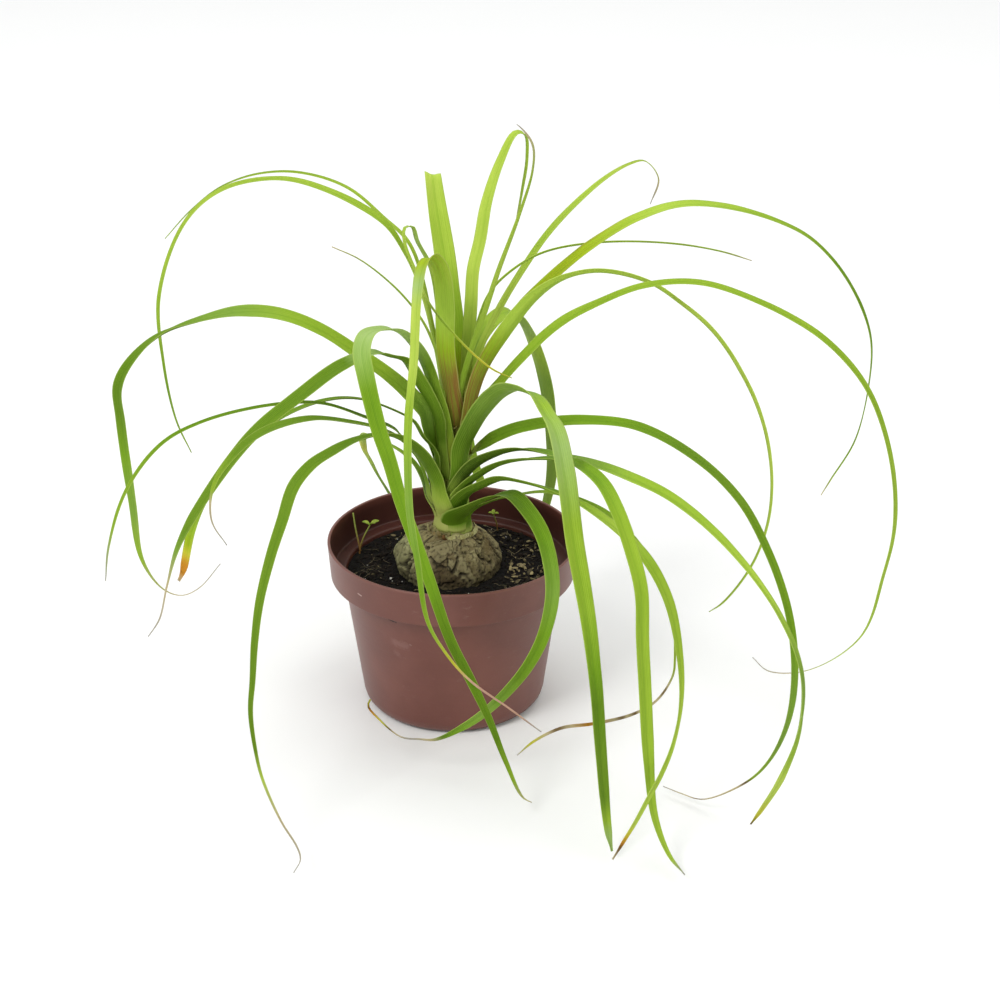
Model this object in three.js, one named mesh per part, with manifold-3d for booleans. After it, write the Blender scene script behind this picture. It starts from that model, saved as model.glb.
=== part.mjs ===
// A ponytail palm in a plastic nursery pot: a swollen caudex half buried in soil, long strap leaves
// that arch out of its crown and hang down past the rim, and three seedlings in the soil.
// Millimetres, +Z up. The origin is the middle of the pot's flat base, on the surface it stands on.
import * as THREE from "three";
import { mergeVertices } from "three/addons/utils/BufferGeometryUtils.js";
import Module from "manifold-3d";

const wasm = await Module();
wasm.setup();

// Pot, a 12 cm nursery pot with a stepped collar
const POT_HEIGHT = 84;
const RIM_RADIUS = 60;
const RIM_LIP = 0.5;
const WALL = 1.4;
const COLLAR_HEIGHT = 17;
const COLLAR_FOOT_RADIUS = 58.8;
const SHOULDER_RADIUS = 52.8;
const BASE_RADIUS = 37.5;
const FOOT_CURVE = 7;
const FLOOR = 2;
const POT_SIDES = 64;
const DRAIN_COUNT = 6;
const DRAIN_RADIUS = 4;
const DRAIN_CIRCLE = 27;

// Soil
const SOIL_EDGE = 67;
const SOIL_CROWN = 69;
const SOIL_LUMP = 0.7;
const SOIL_SLACK = 0.4;
const SOIL_RADIUS = 50.7;
const SOIL_RINGS = 12;
const SOIL_SIDES = 48;

// Caudex and the short stem that carries the leaves, one grown piece
const BULB = { x: -2, y: 1, z: 62, radius: 27, rise: 29, drop: 25 };
const STEM_FOOT = 88;
const STEM_TOP = 152;
const STEM_FOOT_RADIUS = 8;
const STEM_TOP_RADIUS = 2.2;
const STEM_LEAN = 0.04;
const BULB_RINGS = 12;
const CAUDEX_SIDES = 36;
const BULB_WOBBLE = 0.4;
const STEM_RINGS = [91, 96, 104, 114, 126, 139, STEM_TOP];

// Seedlings, points along each stalk and the tip of each small leaf
const STALK = {
  points: [[-45, 17.3, 60], [-46.1, 19, 68], [-48.2, 23.8, 76], [-49.7, 28.2, 83.5]],
  radius: 0.6,
};
const SPROUT = {
  points: [[-46, 15.5, 61], [-46, 16.5, 69], [-44, 18.5, 75], [-41, 21.5, 80]],
  radius: 0.6,
  tips: [[-44.5, 23.5, 80.6], [-37.6, 23, 81.4]],
  leafWidth: 2.6,
};
const SMALL_SPROUT = {
  points: [[21.5, 40.5, 62], [21.4, 40.2, 70], [20.6, 39.4, 74], [19.6, 38.6, 77.5]],
  radius: 0.5,
  tips: [[17.4, 38, 78.6], [21.8, 37.6, 78.4], [19.4, 41, 78.8]],
  leafWidth: 1.8,
};

// Clearances and blade
const GAP = 0.3;
const BLADE = 0.7;
const KEEL = 0.16;
const STEP = 12.5;
const SHEATH = 3;
const FLARE = 0.3;

const leafGreen = "#7fae32";
const youngGreen = "#a4c840";
const deepGreen = "#5c8f1c";

// Each leaf: the side of the stem it grows from in degrees round from +X, the height it grows at,
// its width and its roll in degrees at even steps from base to tip, and the course of its midrib,
// points chosen by hand.
const leaves = [
  {
    name: "leaf_low_hoop",
    colour: leafGreen,
    from: [-82, 94],
    widths: [7, 8, 8.5, 8.4, 7.8, 7, 6.2, 5.7, 5.1, 4.3, 1.8, 1.2, 2],
    rolls: [0, 46, 38, 34, 31, 28, 10],
    course: [[5, -12, 102], [13, -16, 110], [23, -20, 116], [28, -25, 118], [33, -33, 117],
      [41, -46, 110],
      [45, -58, 101], [46, -71, 90], [42, -81, 75], [34, -85, 60], [20, -85, 42], [7, -82, 29],
      [-7, -78, 19],
      [-14, -76, 18], [-23, -74, 18], [-33, -70, 25], [-38, -68, 31], [-37, -66, 33]],
  },
  {
    name: "leaf_back_left",
    colour: youngGreen,
    from: [165, 95],
    widths: [6, 7, 5, 3, 4, 6, 5.8, 5, 3.5],
    rolls: [0, 5, 10, 45, 55, 45],
    course: [[-12, 4, 104], [-14, 5, 112], [-18, 8, 119], [-23, 11, 123], [-30, 15, 126], [-36, 18, 128],
      [-41, 23, 128], [-44, 33, 122], [-45, 43, 114], [-45, 51, 107], [-43, 58, 99], [-40, 64, 89],
      [-35, 70, 76], [-30, 75, 62]],
  },
  {
    name: "leaf_right_dry_tail",
    colour: youngGreen,
    from: [-36, 95],
    widths: [5, 4.5, 3.2, 2.8, 2.8, 2.4, 1.6, 1, 1.4, 1.6, 1],
    rolls: [0, 20, 20, 10, 0],
    course: [[10.5, -5, 101], [20, -9, 108], [31, -14, 113], [41, -26, 120], [50, -39, 125],
      [59, -52, 128], [70, -63, 127],
      [80, -75, 122], [90, -82, 110], [98, -92, 93], [99, -102, 75], [98, -106, 69], [91, -113, 61],
      [80, -120, 58], [63, -126, 57], [49, -128, 56], [37, -131, 51], [30, -134, 46]],
  },
  {
    name: "leaf_front_left",
    colour: leafGreen,
    from: [238, 97],
    widths: [6, 8, 9, 7.4, 6.6, 5.8, 4.8, 3.7, 2.6, 1.5, 1, 1],
    rolls: [0, 5, 4, -26, -24, -22, -30, 0],
    course: [[-5, -10, 104], [-6, -12, 113], [-7, -14, 120], [-10, -17, 129], [-14, -22, 138],
      [-21, -30, 148],
      [-27, -38, 154], [-34, -46, 157], [-43, -56, 158], [-51, -65, 157], [-59, -72, 154],
      [-66, -78, 147],
      [-71, -86, 134], [-76, -95, 120], [-80, -106, 105], [-82, -114, 90], [-83, -120, 75],
      [-84, -125, 62],
      [-82, -131, 46], [-79, -136, 35], [-71, -145, 20], [-64, -151, 11], [-62, -157, 9], [-64, -167, 9]],
  },
  {
    name: "leaf_front_right_low",
    colour: leafGreen,
    from: [-76, 97],
    widths: [6, 7, 7, 7, 6.8, 6.4, 6, 5.2, 3.4, 2, 2.8, 2.6, 1],
    rolls: [0, 0, 5, 25, 38, 38, 30, 20, 10],
    course: [[3, -11, 106], [6, -14, 113], [14, -19, 120], [23, -27, 127], [32, -36, 130], [48, -52, 132],
      [64, -66, 129], [84, -86, 119], [95, -98, 103], [101, -106, 76], [101, -116, 60], [97, -130, 49],
      [91, -142, 41], [86, -152, 38], [80, -158, 29], [75, -162, 22], [70, -166, 15]],
  },
  {
    name: "leaf_left_wiry",
    colour: leafGreen,
    from: [200, 99],
    widths: [5, 5, 4, 3, 2.4, 2.2, 2.6, 2.4, 1],
    rolls: [0],
    course: [[-11, -4, 107], [-12, -6, 117], [-15.5, -8.5, 129], [-21, -9, 137], [-25, -12, 145],
      [-38, -21, 155],
      [-58, -35, 168], [-83, -49, 172], [-108, -60, 169], [-124, -67, 162], [-139, -74, 144],
      [-148, -80, 119], [-150, -84, 104]],
  },
  {
    name: "leaf_front_right",
    colour: leafGreen,
    from: [-68, 101],
    widths: [6, 6.6, 7, 7, 7, 6.8, 6.6, 6.4, 6.2, 3.8, 1.2],
    rolls: [0, 4, 16, 16, 14, 8],
    course: [[3, -11, 110], [7, -14, 118], [14, -19, 126], [23, -30, 136], [40, -62, 153], [55, -87, 162],
      [65, -102, 160], [71, -114, 153], [77, -122, 138], [81, -129, 123], [82, -132, 101], [84, -134, 74],
      [86, -138, 46], [89, -143, 21], [95, -153, 8], [101, -163, 5]],
  },
  {
    name: "leaf_left_low",
    colour: leafGreen,
    from: [224, 103],
    widths: [6, 6.5, 6, 5, 5, 5.6, 4.2, 1.4, 1],
    rolls: [0, 0, -5, -10, -10, 0],
    course: [[-8, -6, 112], [-10, -9, 122], [-13, -13.5, 132], [-17, -17.5, 139], [-28, -27, 151],
      [-44, -40, 161],
      [-60, -53, 168], [-77, -67, 169], [-89, -77, 164], [-98, -85, 154], [-101, -87, 145],
      [-101, -87, 134], [-96, -83, 121]],
  },
  {
    name: "leaf_right_low",
    colour: leafGreen,
    from: [-84, 105],
    widths: [6, 7.5, 7.6, 7.2, 7, 6, 5, 4, 3.6, 4, 3.8, 2.2],
    rolls: [0, 8, 26, 40, 42, 36, 28, 22, 16, 58, 62],
    course: [[2, -11.5, 114], [5, -14, 122], [9, -16, 128], [15, -20, 134], [32, -36, 146],
      [51, -56, 151],
      [74, -82, 155], [98, -109, 153], [120, -135, 141], [136, -153, 123], [144, -162, 104],
      [145, -164, 80], [140, -158, 51], [134, -150, 30], [130, -146, 19]],
  },
  {
    name: "leaf_left_orange_tip",
    colour: leafGreen,
    from: [214, 108],
    widths: [5, 5, 4.5, 5, 6, 6, 6, 5.5, 4.5],
    rolls: [0, 0, 0, 0, 0, -5, -15, -30, -40],
    course: [[-7, -7, 122], [-7, -9, 131], [-9, -10, 136], [-13, -12, 142], [-17, -13, 150],
      [-23, -15, 155],
      [-41, -20, 164], [-58, -28, 166], [-77, -38, 161], [-95, -48, 149], [-108, -54, 131],
      [-115, -57, 116], [-120, -60, 96], [-122, -61, 92]],
  },
  {
    name: "leaf_front_arch",
    colour: leafGreen,
    from: [-72, 108],
    widths: [7, 9, 10, 10, 10, 10, 10, 9.2, 8, 6.7, 6.2, 5.5, 3.2],
    rolls: [0, -4, -15, -16, 0, 5, 5, 3, 0],
    course: [[4, -10.5, 120], [4.6, -12, 135], [10, -15, 149], [17, -25, 164], [24, -42, 177],
      [31, -60, 185],
      [38, -74, 187], [42, -84, 184], [46, -93, 180], [50, -102, 163], [54, -110, 135], [59, -119, 109],
      [63, -128, 80], [66, -136, 45], [69, -142, 15], [71, -146, 5]],
  },
  {
    name: "leaf_right_arch",
    colour: leafGreen,
    from: [-46.5, 111],
    widths: [6, 6.5, 6.2, 5.2, 4.8, 4.8, 5, 4.6, 3.6, 1.8, 1.2, 1],
    rolls: [0, 0, 36, 40, 35, 35, 38, 45, 50, 50, 30],
    course: [[6.5, -4.5, 124], [10.5, -4, 131], [15, -10, 137], [21, -17, 144], [33, -27, 153],
      [58, -50, 166],
      [83, -72, 172], [107, -94, 166], [123, -108, 154], [134, -118, 136], [143, -126, 112],
      [147, -130, 83],
      [145, -128, 55], [137, -123, 32], [125, -114, 15], [113, -106, 5], [105, -100, 4], [97, -94, 4]],
  },
  {
    name: "leaf_left_bent",
    colour: leafGreen,
    from: [190, 113],
    widths: [6, 8, 8.5, 8.5, 8, 7.5, 7, 6.5, 5, 1.4, 1],
    rolls: [0, -10, -18, -20, -20, 29, -25, -28, -25, -25, 0],
    course: [[-8.5, -2, 131], [-10.5, -4, 142], [-12, -6, 152], [-15, -8, 157], [-24, -11, 168],
      [-41, -14, 183],
      [-58, -19, 197], [-75, -24, 206], [-92, -29, 209], [-109, -34, 207], [-126, -39, 202],
      [-139, -43, 191],
      [-145, -45, 180], [-145, -45, 164], [-143, -45, 125], [-141, -44, 94], [-133, -42, 78],
      [-125, -39, 73], [-117, -37, 76], [-107, -34, 87]],
  },
  {
    name: "leaf_left_wide",
    colour: deepGreen,
    from: [218, 118],
    widths: [5, 7, 8, 8.5, 8.5, 8, 7, 6, 1.6, 1],
    rolls: [0, -8, -14, -15, -8, 0],
    course: [[-5, -6, 140], [-6, -9, 151], [-14, -13, 170], [-20, -16, 181], [-27, -20, 185],
      [-33, -24, 188],
      [-48, -34, 185], [-65, -46, 176], [-86, -60, 162], [-109, -75, 134], [-118, -81, 118],
      [-123, -85, 102], [-127, -88, 87], [-132, -91, 80]],
  },
  {
    name: "leaf_far_right",
    colour: leafGreen,
    from: [5, 122],
    widths: [5, 7, 7, 4.6, 3.8, 4, 4, 3.6, 3.4, 3.2, 2.8, 1, 1],
    rolls: [0, 12, 16, 6, 0, 8, 15, 18, 18, 10, 0],
    course: [[10, -1, 140], [16, -2, 156], [23, -3, 165], [33, -5, 178], [50, -8, 196], [68, -13, 208],
      [87, -20, 218], [111, -25, 221], [138, -29, 213], [165, -32, 198], [186, -33, 175], [199, -35, 143],
      [204, -35, 108], [201, -35, 82], [193, -34, 48], [171, -30, 28], [152, -26, 25], [144, -25, 32]],
  },
  {
    name: "leaf_front_loop",
    colour: leafGreen,
    from: [240, 124],
    widths: [5, 6.5, 7.5, 8.5, 8, 7, 6, 5.6, 4.8, 4.3, 2.6, 1],
    rolls: [0],
    course: [[-2, -6, 142], [-4, -7, 153], [-7, -8, 163], [-10, -11, 175], [-14, -18, 187],
      [-22, -34, 202],
      [-27, -42, 206], [-34, -54, 208], [-36, -64, 204], [-34, -74, 197], [-29, -80, 176],
      [-24, -83, 160],
      [-20, -86, 145], [-14, -89, 127], [-8, -93, 110], [1, -100, 84], [10, -103, 65], [18, -106, 47],
      [25, -109, 28], [33, -112, 10], [37, -113, 8]],
  },
  {
    name: "leaf_back_right",
    colour: deepGreen,
    from: [90, 126],
    widths: [5, 7, 8, 8.5, 8.5, 8, 7, 6, 4],
    rolls: [0, -10, -25, -40, -40, -40],
    course: [[5, 9, 150], [9, 16, 165], [13, 25, 176], [23, 37, 184], [29, 45, 182], [35, 52, 172],
      [41, 62, 154], [46, 69, 132], [49, 75, 101], [49, 81, 77], [45, 88, 51]],
  },
  {
    name: "leaf_right_drooping",
    colour: leafGreen,
    from: [-48, 128],
    widths: [5, 7, 7, 6, 5, 4.8, 4.4, 3.4, 2.4, 1.6, 1],
    rolls: [0, -22, -42, 5, 12, 8, 8, 10, 8, 0],
    course: [[8, -6, 150], [13, -6, 170], [23, -7, 189], [38, -9, 209], [51, -10, 218], [67, -9, 221],
      [89, -9, 216], [103, -13, 208], [120, -19, 194], [137, -24, 167], [145, -28, 143], [147, -32, 119],
      [144, -35, 100], [137, -38, 84], [126, -41, 70], [120, -42, 66]],
  },
  {
    name: "leaf_left_spur",
    colour: leafGreen,
    from: [214, 131],
    widths: [3.5, 3.5, 3, 2.6, 2.2, 1.4],
    rolls: [0],
    course: [[-3.5, -4.2, 156], [-5, -6, 175], [-8, -8, 187], [-13, -10, 199], [-24, -14, 215],
      [-39, -17, 229],
      [-51, -20, 236]],
  },
  {
    name: "leaf_high_right",
    colour: youngGreen,
    from: [0, 133],
    widths: [4, 7, 8, 7.5, 6.5, 5.2, 3.5, 2.5, 2.2, 2, 1],
    rolls: [0, 30, 24, 20, 18, 45, 30, 0],
    course: [[10, 1, 156], [13, 2, 167], [19, 5, 178], [26, 7, 189], [34, 8, 199], [52, 9, 217],
      [70, 10, 231],
      [86, 11, 240], [104, 13, 245], [124, 14, 244], [150, 16, 236], [167, 18, 226], [185, 20, 205],
      [197, 22, 178], [198, 22, 152], [194, 24, 124], [184, 25, 103], [180, 26, 94]],
  },
  {
    name: "leaf_high_left_thin",
    colour: youngGreen,
    from: [160, 136],
    widths: [3, 3.6, 3.4, 3, 2.4, 2, 1.6, 1],
    rolls: [0],
    course: [[-4.5, 5.5, 160], [-8, 6.5, 187], [-18, 7, 228], [-30, 10, 240], [-46, 13, 253],
      [-67, 16, 259], [-86, 18, 258],
      [-104, 21, 251], [-119, 24, 239], [-132, 26, 225]],
  },
  {
    name: "leaf_back_right_high",
    colour: leafGreen,
    from: [50, 137],
    widths: [4, 4.5, 4, 4, 4, 3, 1.4, 1],
    rolls: [0],
    course: [[7.5, 10, 159], [14, 15.5, 176], [23, 25, 192], [34, 37, 207], [48, 50, 223], [71, 68, 240],
      [85, 77, 246], [93, 82, 246], [100, 87, 236], [97, 94, 221]],
  },
  {
    name: "leaf_centre_upright",
    colour: youngGreen,
    from: [110, 140],
    widths: [5, 9, 10.5, 10.5, 9.4, 7.4, 5, 3, 1.4],
    rolls: [0],
    course: [[1, 8, 158], [1, 10, 187], [-1, 13, 205], [-3, 17, 222], [-6, 22, 241], [-8, 28, 255],
      [-8, 35, 250], [-7, 48, 234], [-6, 58, 214], [-6, 64, 192]],
  },
  {
    name: "leaf_high_left",
    colour: youngGreen,
    from: [188, 141],
    widths: [4, 5, 6, 5, 2.8, 2.8, 3, 2.6, 1.4],
    rolls: [0, -10, -25, -28, -40, -30],
    course: [[-4, 0, 158], [-8, -1, 187], [-14, -2, 213], [-20, -3, 228], [-29, -4, 242], [-51, -5, 256],
      [-74, -7, 263], [-100, -8, 258], [-117, -9, 243], [-130, -11, 210], [-130, -13, 180],
      [-126, -14, 151], [-120, -15, 135]],
  },
  {
    name: "leaf_right_thread",
    colour: leafGreen,
    from: [-25, 145],
    widths: [3, 3.4, 3, 2.2, 1.8, 1.4, 1],
    rolls: [0],
    course: [[8, -3, 170], [11, -3, 187], [18, 1, 207], [30, 5, 218], [44, 10, 224], [69, 17, 226],
      [101, 25, 223], [125, 32, 217], [141, 36, 211]],
  },
  {
    name: "leaf_folded_thread",
    colour: youngGreen,
    from: [225, 147],
    widths: [3, 3.6, 4, 3.5, 3, 2.4, 1.6, 1.4, 1],
    rolls: [0],
    course: [[-1.7, -3.6, 165], [-4.2, -5.6, 192], [-8, -9, 222], [-14, -12, 236], [-16, -13, 243],
      [-19, -15, 243],
      [-19, -17, 237], [-14, -22, 225], [-9, -28, 214], [4, -37, 200], [19, -46, 189], [28, -50, 186]],
  },
  {
    name: "leaf_tall_right",
    colour: youngGreen,
    from: [45, 148],
    widths: [3.5, 6, 8.5, 8.2, 7.8, 5.8, 3.4, 2.6, 1.4],
    rolls: [0],
    course: [[8, 2, 175], [10, 4, 201], [11, 9, 216], [14, 14, 228], [17, 20, 244], [23, 27, 261],
      [30, 32, 273], [34, 34, 272], [35, 37, 260], [33, 41, 244], [30, 46, 225]],
  },
  {
    name: "leaf_front_hanging",
    colour: youngGreen,
    from: [262, 144],
    widths: [3.5, 5, 8, 7.4, 5.4, 4.8, 4.4, 4, 3, 1.8, 1.5, 1],
    rolls: [0],
    course: [[0, -7, 165], [-2, -10, 184], [-2, -13, 209], [-3, -15, 221], [-5, -18, 228], [-8, -22, 232],
      [-11, -29, 230], [-13, -42, 219], [-14, -58, 198], [-16, -76, 178], [-16, -90, 165],
      [-15, -102, 146],
      [-12, -106, 125], [-8, -107, 96], [0, -107, 80], [10, -107, 67], [27, -107, 53], [41, -107, 41]],
  },
  {
    name: "leaf_tall_curled",
    colour: leafGreen,
    from: [-80, 150],
    widths: [2.6, 2.8, 2.6, 2.2, 1.6, 1, 1],
    rolls: [0, -10, -15, -15, 0],
    course: [[4, -5, 160], [8, -7, 177], [12, -7, 190], [16, -6, 201], [22, -6, 220], [31, -8, 246],
      [37, -12, 268], [37, -15, 280],
      [33, -17, 287], [30, -18, 290]],
  },
  {
    name: "leaf_behind_low",
    colour: leafGreen,
    from: [95, 102],
    widths: [6, 7.5, 8, 8, 7.5, 7, 6, 4.5, 1.6],
    rolls: [0, 6, 10, 4, -6, 0],
    course: [[1, 10, 112], [2, 20, 130], [2, 38, 146], [1, 58, 149], [0, 76, 136], [-1, 86, 112],
      [-1, 90, 82], [-2, 93, 54], [-8, 96, 36], [-18, 102, 20], [-27, 110, 12]],
  },
  {
    name: "leaf_behind_middle",
    colour: leafGreen,
    from: [72, 114],
    widths: [6, 7, 8, 8, 7.5, 6.5, 5.5, 4, 1.2],
    rolls: [0, -6, -8, 4, 10, 0],
    course: [[4, 9.5, 130], [4, 19, 150], [4, 36, 166], [4, 58, 171], [4, 80, 163], [4, 95, 143],
      [4, 103, 115], [7, 107, 84], [15, 111, 56], [26, 116, 34], [34, 120, 22]],
  },
  {
    name: "leaf_behind_high",
    colour: leafGreen,
    from: [140, 131],
    widths: [4.5, 6.5, 7.5, 7.5, 7, 6, 5, 3.5, 1.2],
    rolls: [0, 8, 10, 0, -8, 0],
    course: [[-3.5, 8, 148], [-3, 17, 168], [-2, 34, 184], [-1, 56, 189], [-1, 80, 183],
      [-1, 100, 163], [-1, 112, 134], [-2, 118, 104], [-6, 121, 78], [-15, 125, 52],
      [-27, 130, 32], [-34, 134, 22]],
  },
];

// Solids and meshes

function solidFrom(geometry) {
  const bare = geometry.clone();
  bare.deleteAttribute("normal");
  bare.deleteAttribute("uv");
  const merged = mergeVertices(bare, 1e-4);
  return new wasm.Manifold(
    new wasm.Mesh({
      numProp: 3,
      vertProperties: new Float32Array(merged.attributes.position.array),
      triVerts: new Uint32Array(merged.index.array),
    }),
  );
}

function geometryFrom(solid) {
  const mesh = solid.getMesh();
  const geometry = new THREE.BufferGeometry();
  geometry.setAttribute("position", new THREE.BufferAttribute(mesh.vertProperties, 3));
  geometry.setIndex(new THREE.BufferAttribute(mesh.triVerts, 1));
  geometry.computeVertexNormals();
  return geometry;
}

function namedMesh(name, geometry, colour, roughness) {
  const material = new THREE.MeshStandardMaterial({ color: colour, roughness, metalness: 0 });
  const mesh = new THREE.Mesh(geometry, material);
  mesh.name = name;
  return mesh;
}

// A closed skin over a stack of rings that all have the same number of points.
function skinOver(rings) {
  const count = rings[0].length;
  const points = rings.flat();
  const foot = points.length;
  const head = foot + 1;
  points.push(middleOf(rings[0]), middleOf(rings.at(-1)));
  const faces = [];
  for (let i = 0; i + 1 < rings.length; i += 1) {
    for (let j = 0; j < count; j += 1) {
      const a = i * count + j;
      const b = i * count + ((j + 1) % count);
      faces.push(a, b, b + count, a, b + count, a + count);
    }
  }
  const last = (rings.length - 1) * count;
  for (let j = 0; j < count; j += 1) {
    const next = (j + 1) % count;
    faces.push(foot, next, j);
    faces.push(head, last + j, last + next);
  }
  const geometry = new THREE.BufferGeometry().setFromPoints(points);
  geometry.setIndex(faces);
  geometry.computeVertexNormals();
  return geometry;
}

function middleOf(ring) {
  const sum = new THREE.Vector3();
  for (const point of ring) {
    sum.add(point);
  }
  return sum.divideScalar(ring.length);
}

// Stem

function stemShare(z) {
  return THREE.MathUtils.clamp((z - STEM_FOOT) / (STEM_TOP - STEM_FOOT), 0, 1);
}

function stemRadius(z) {
  return THREE.MathUtils.lerp(STEM_FOOT_RADIUS, STEM_TOP_RADIUS, stemShare(z));
}

function stemMiddle(z) {
  return new THREE.Vector3(STEM_LEAN * (z - STEM_FOOT), 0, z);
}

// Leaves

function readAlong(values, share) {
  if (values.length === 1) return values[0];
  const place = share * (values.length - 1);
  const i = Math.min(Math.floor(place), values.length - 2);
  return THREE.MathUtils.lerp(values[i], values[i + 1], place - i);
}

function leafCourse(leaf) {
  const [side, height] = leaf.from;
  const around = THREE.MathUtils.degToRad(side);
  const out = new THREE.Vector3(Math.cos(around), Math.sin(around), 0);
  const clear = GAP + BLADE;
  const base = stemMiddle(height).addScaledVector(out, stemRadius(height) + clear);
  const flared = stemRadius(height) + clear + SHEATH * FLARE;
  const second = stemMiddle(height + SHEATH).addScaledVector(out, flared);
  const points = [base, second, ...leaf.course.map((p) => new THREE.Vector3(...p))];
  return { curve: new THREE.CatmullRomCurve3(points, false, "centripetal"), out };
}

// The six corners of a blade's section: a shallow channel, open on its upper face.
function bladeSection(centre, across, up, width) {
  const half = Math.max(width, 1) / 2;
  const lift = (KEEL * width) / 2;
  const thick = BLADE / 2;
  const corner = (side, rise) => centre.clone().addScaledVector(across, side).addScaledVector(up, rise);
  return [
    corner(-half, lift - thick), corner(0, -lift - thick), corner(half, lift - thick),
    corner(half, lift + thick), corner(0, thick - lift), corner(-half, lift + thick),
  ];
}

function leafGeometry(leaf) {
  const { curve, out } = leafCourse(leaf);
  const steps = Math.max(10, Math.round(curve.getLength() / STEP));
  const across = new THREE.Vector3(-out.y, out.x, 0);
  let along = curve.getTangentAt(0);
  across.addScaledVector(along, -across.dot(along)).normalize();
  const rings = [];
  for (let i = 0; i <= steps; i += 1) {
    const share = i / steps;
    const next = curve.getTangentAt(share);
    const turn = new THREE.Quaternion().setFromUnitVectors(along, next);
    across.applyQuaternion(turn);
    along = next;
    const roll = THREE.MathUtils.degToRad(readAlong(leaf.rolls, share));
    const rolled = across.clone().applyAxisAngle(along, roll);
    const up = new THREE.Vector3().crossVectors(along, rolled);
    rings.push(bladeSection(curve.getPointAt(share), rolled, up, readAlong(leaf.widths, share)));
  }
  return skinOver(rings);
}

// Pot, turned from one profile, with drain holes through its floor

function arcPoints(centreR, centreZ, radius, fromAngle, toAngle, steps) {
  const points = [];
  for (let i = 0; i <= steps; i += 1) {
    const angle = THREE.MathUtils.degToRad(THREE.MathUtils.lerp(fromAngle, toAngle, i / steps));
    const r = centreR + radius * Math.cos(angle);
    points.push(new THREE.Vector2(r, centreZ + radius * Math.sin(angle)));
  }
  return points;
}

function turned(profile, sides) {
  return new THREE.LatheGeometry(profile, sides).rotateX(Math.PI / 2);
}

function potProfile() {
  const at = (r, z) => new THREE.Vector2(r, z);
  const step = POT_HEIGHT - COLLAR_HEIGHT;
  const ledge = step + WALL + 0.4;
  return [
    at(0, 0),
    ...arcPoints(BASE_RADIUS, FOOT_CURVE, FOOT_CURVE, -90, -8, 5),
    at(SHOULDER_RADIUS, step),
    at(COLLAR_FOOT_RADIUS - 0.5, step),
    at(COLLAR_FOOT_RADIUS, step + 0.5),
    at(RIM_RADIUS, POT_HEIGHT - RIM_LIP),
    at(RIM_RADIUS - RIM_LIP / 2, POT_HEIGHT),
    at(RIM_RADIUS - WALL + 0.2, POT_HEIGHT),
    at(RIM_RADIUS - WALL, POT_HEIGHT - RIM_LIP),
    at(COLLAR_FOOT_RADIUS - WALL, ledge + 0.5),
    at(COLLAR_FOOT_RADIUS - WALL - 0.5, ledge),
    at(SHOULDER_RADIUS - WALL, ledge),
    ...arcPoints(BASE_RADIUS - 0.6, FLOOR + FOOT_CURVE - 1, FOOT_CURVE - 1, -8, -90, 4),
    at(0, FLOOR),
  ];
}

function potSolid() {
  let pot = solidFrom(turned(potProfile(), POT_SIDES));
  for (let i = 0; i < DRAIN_COUNT; i += 1) {
    const angle = (2 * Math.PI * i) / DRAIN_COUNT;
    const hole = new THREE.CylinderGeometry(DRAIN_RADIUS, DRAIN_RADIUS, 3 * FLOOR, 24);
    hole.rotateX(Math.PI / 2);
    hole.translate(DRAIN_CIRCLE * Math.cos(angle), DRAIN_CIRCLE * Math.sin(angle), FLOOR);
    pot = pot.subtract(solidFrom(hole));
  }
  return pot;
}

// Caudex

function caudexRing(centre, radius, wobble) {
  const ring = [];
  for (let j = 0; j < CAUDEX_SIDES; j += 1) {
    const angle = (2 * Math.PI * j) / CAUDEX_SIDES;
    const rough = Math.sin(5 * angle + centre.z / 6) + 0.7 * Math.sin(11 * angle - centre.z / 4);
    const r = radius + wobble * rough;
    const offset = new THREE.Vector3(r * Math.cos(angle), r * Math.sin(angle), 0);
    ring.push(offset.add(centre));
  }
  return ring;
}

// The lower half is a flattened ball, the upper half narrows and leans over into the stem.
function caudexGeometry(grow) {
  const rings = [];
  for (let i = 0; i <= BULB_RINGS; i += 1) {
    const slope = THREE.MathUtils.degToRad(THREE.MathUtils.lerp(-88, 0, i / BULB_RINGS));
    const centre = new THREE.Vector3(BULB.x, BULB.y, BULB.z + (BULB.drop + grow) * Math.sin(slope));
    rings.push(caudexRing(centre, BULB.radius * Math.cos(slope) + grow, BULB_WOBBLE * Math.cos(slope)));
  }
  const bulbTop = 0.92 * BULB.rise;
  for (let i = 1; i <= BULB_RINGS; i += 1) {
    const rise = bulbTop * Math.sin((i / BULB_RINGS) * (Math.PI / 2));
    const z = BULB.z + rise;
    const radius = BULB.radius * Math.sqrt(1 - (rise / BULB.rise) ** 2);
    const shift = THREE.MathUtils.smoothstep(rise, 0.6 * BULB.rise, bulbTop);
    const centre = new THREE.Vector3(BULB.x, BULB.y, z).lerp(stemMiddle(z), shift);
    rings.push(caudexRing(centre, radius + grow, BULB_WOBBLE * (1 - shift)));
  }
  for (const z of STEM_RINGS) {
    rings.push(caudexRing(stemMiddle(z), stemRadius(z) + grow, 0));
  }
  return skinOver(rings);
}

// Soil, its top gently lumpy, with an open socket for the bulb and a plain hole for each stalk

function soilTop(radius, angle) {
  const share = radius / SOIL_RADIUS;
  const dome = THREE.MathUtils.lerp(SOIL_CROWN, SOIL_EDGE, share * share);
  const lump = Math.sin(3 * angle + 0.18 * radius) + Math.sin(5 * angle - 0.11 * radius);
  return dome + SOIL_LUMP * lump * share * (1 - share);
}

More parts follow.
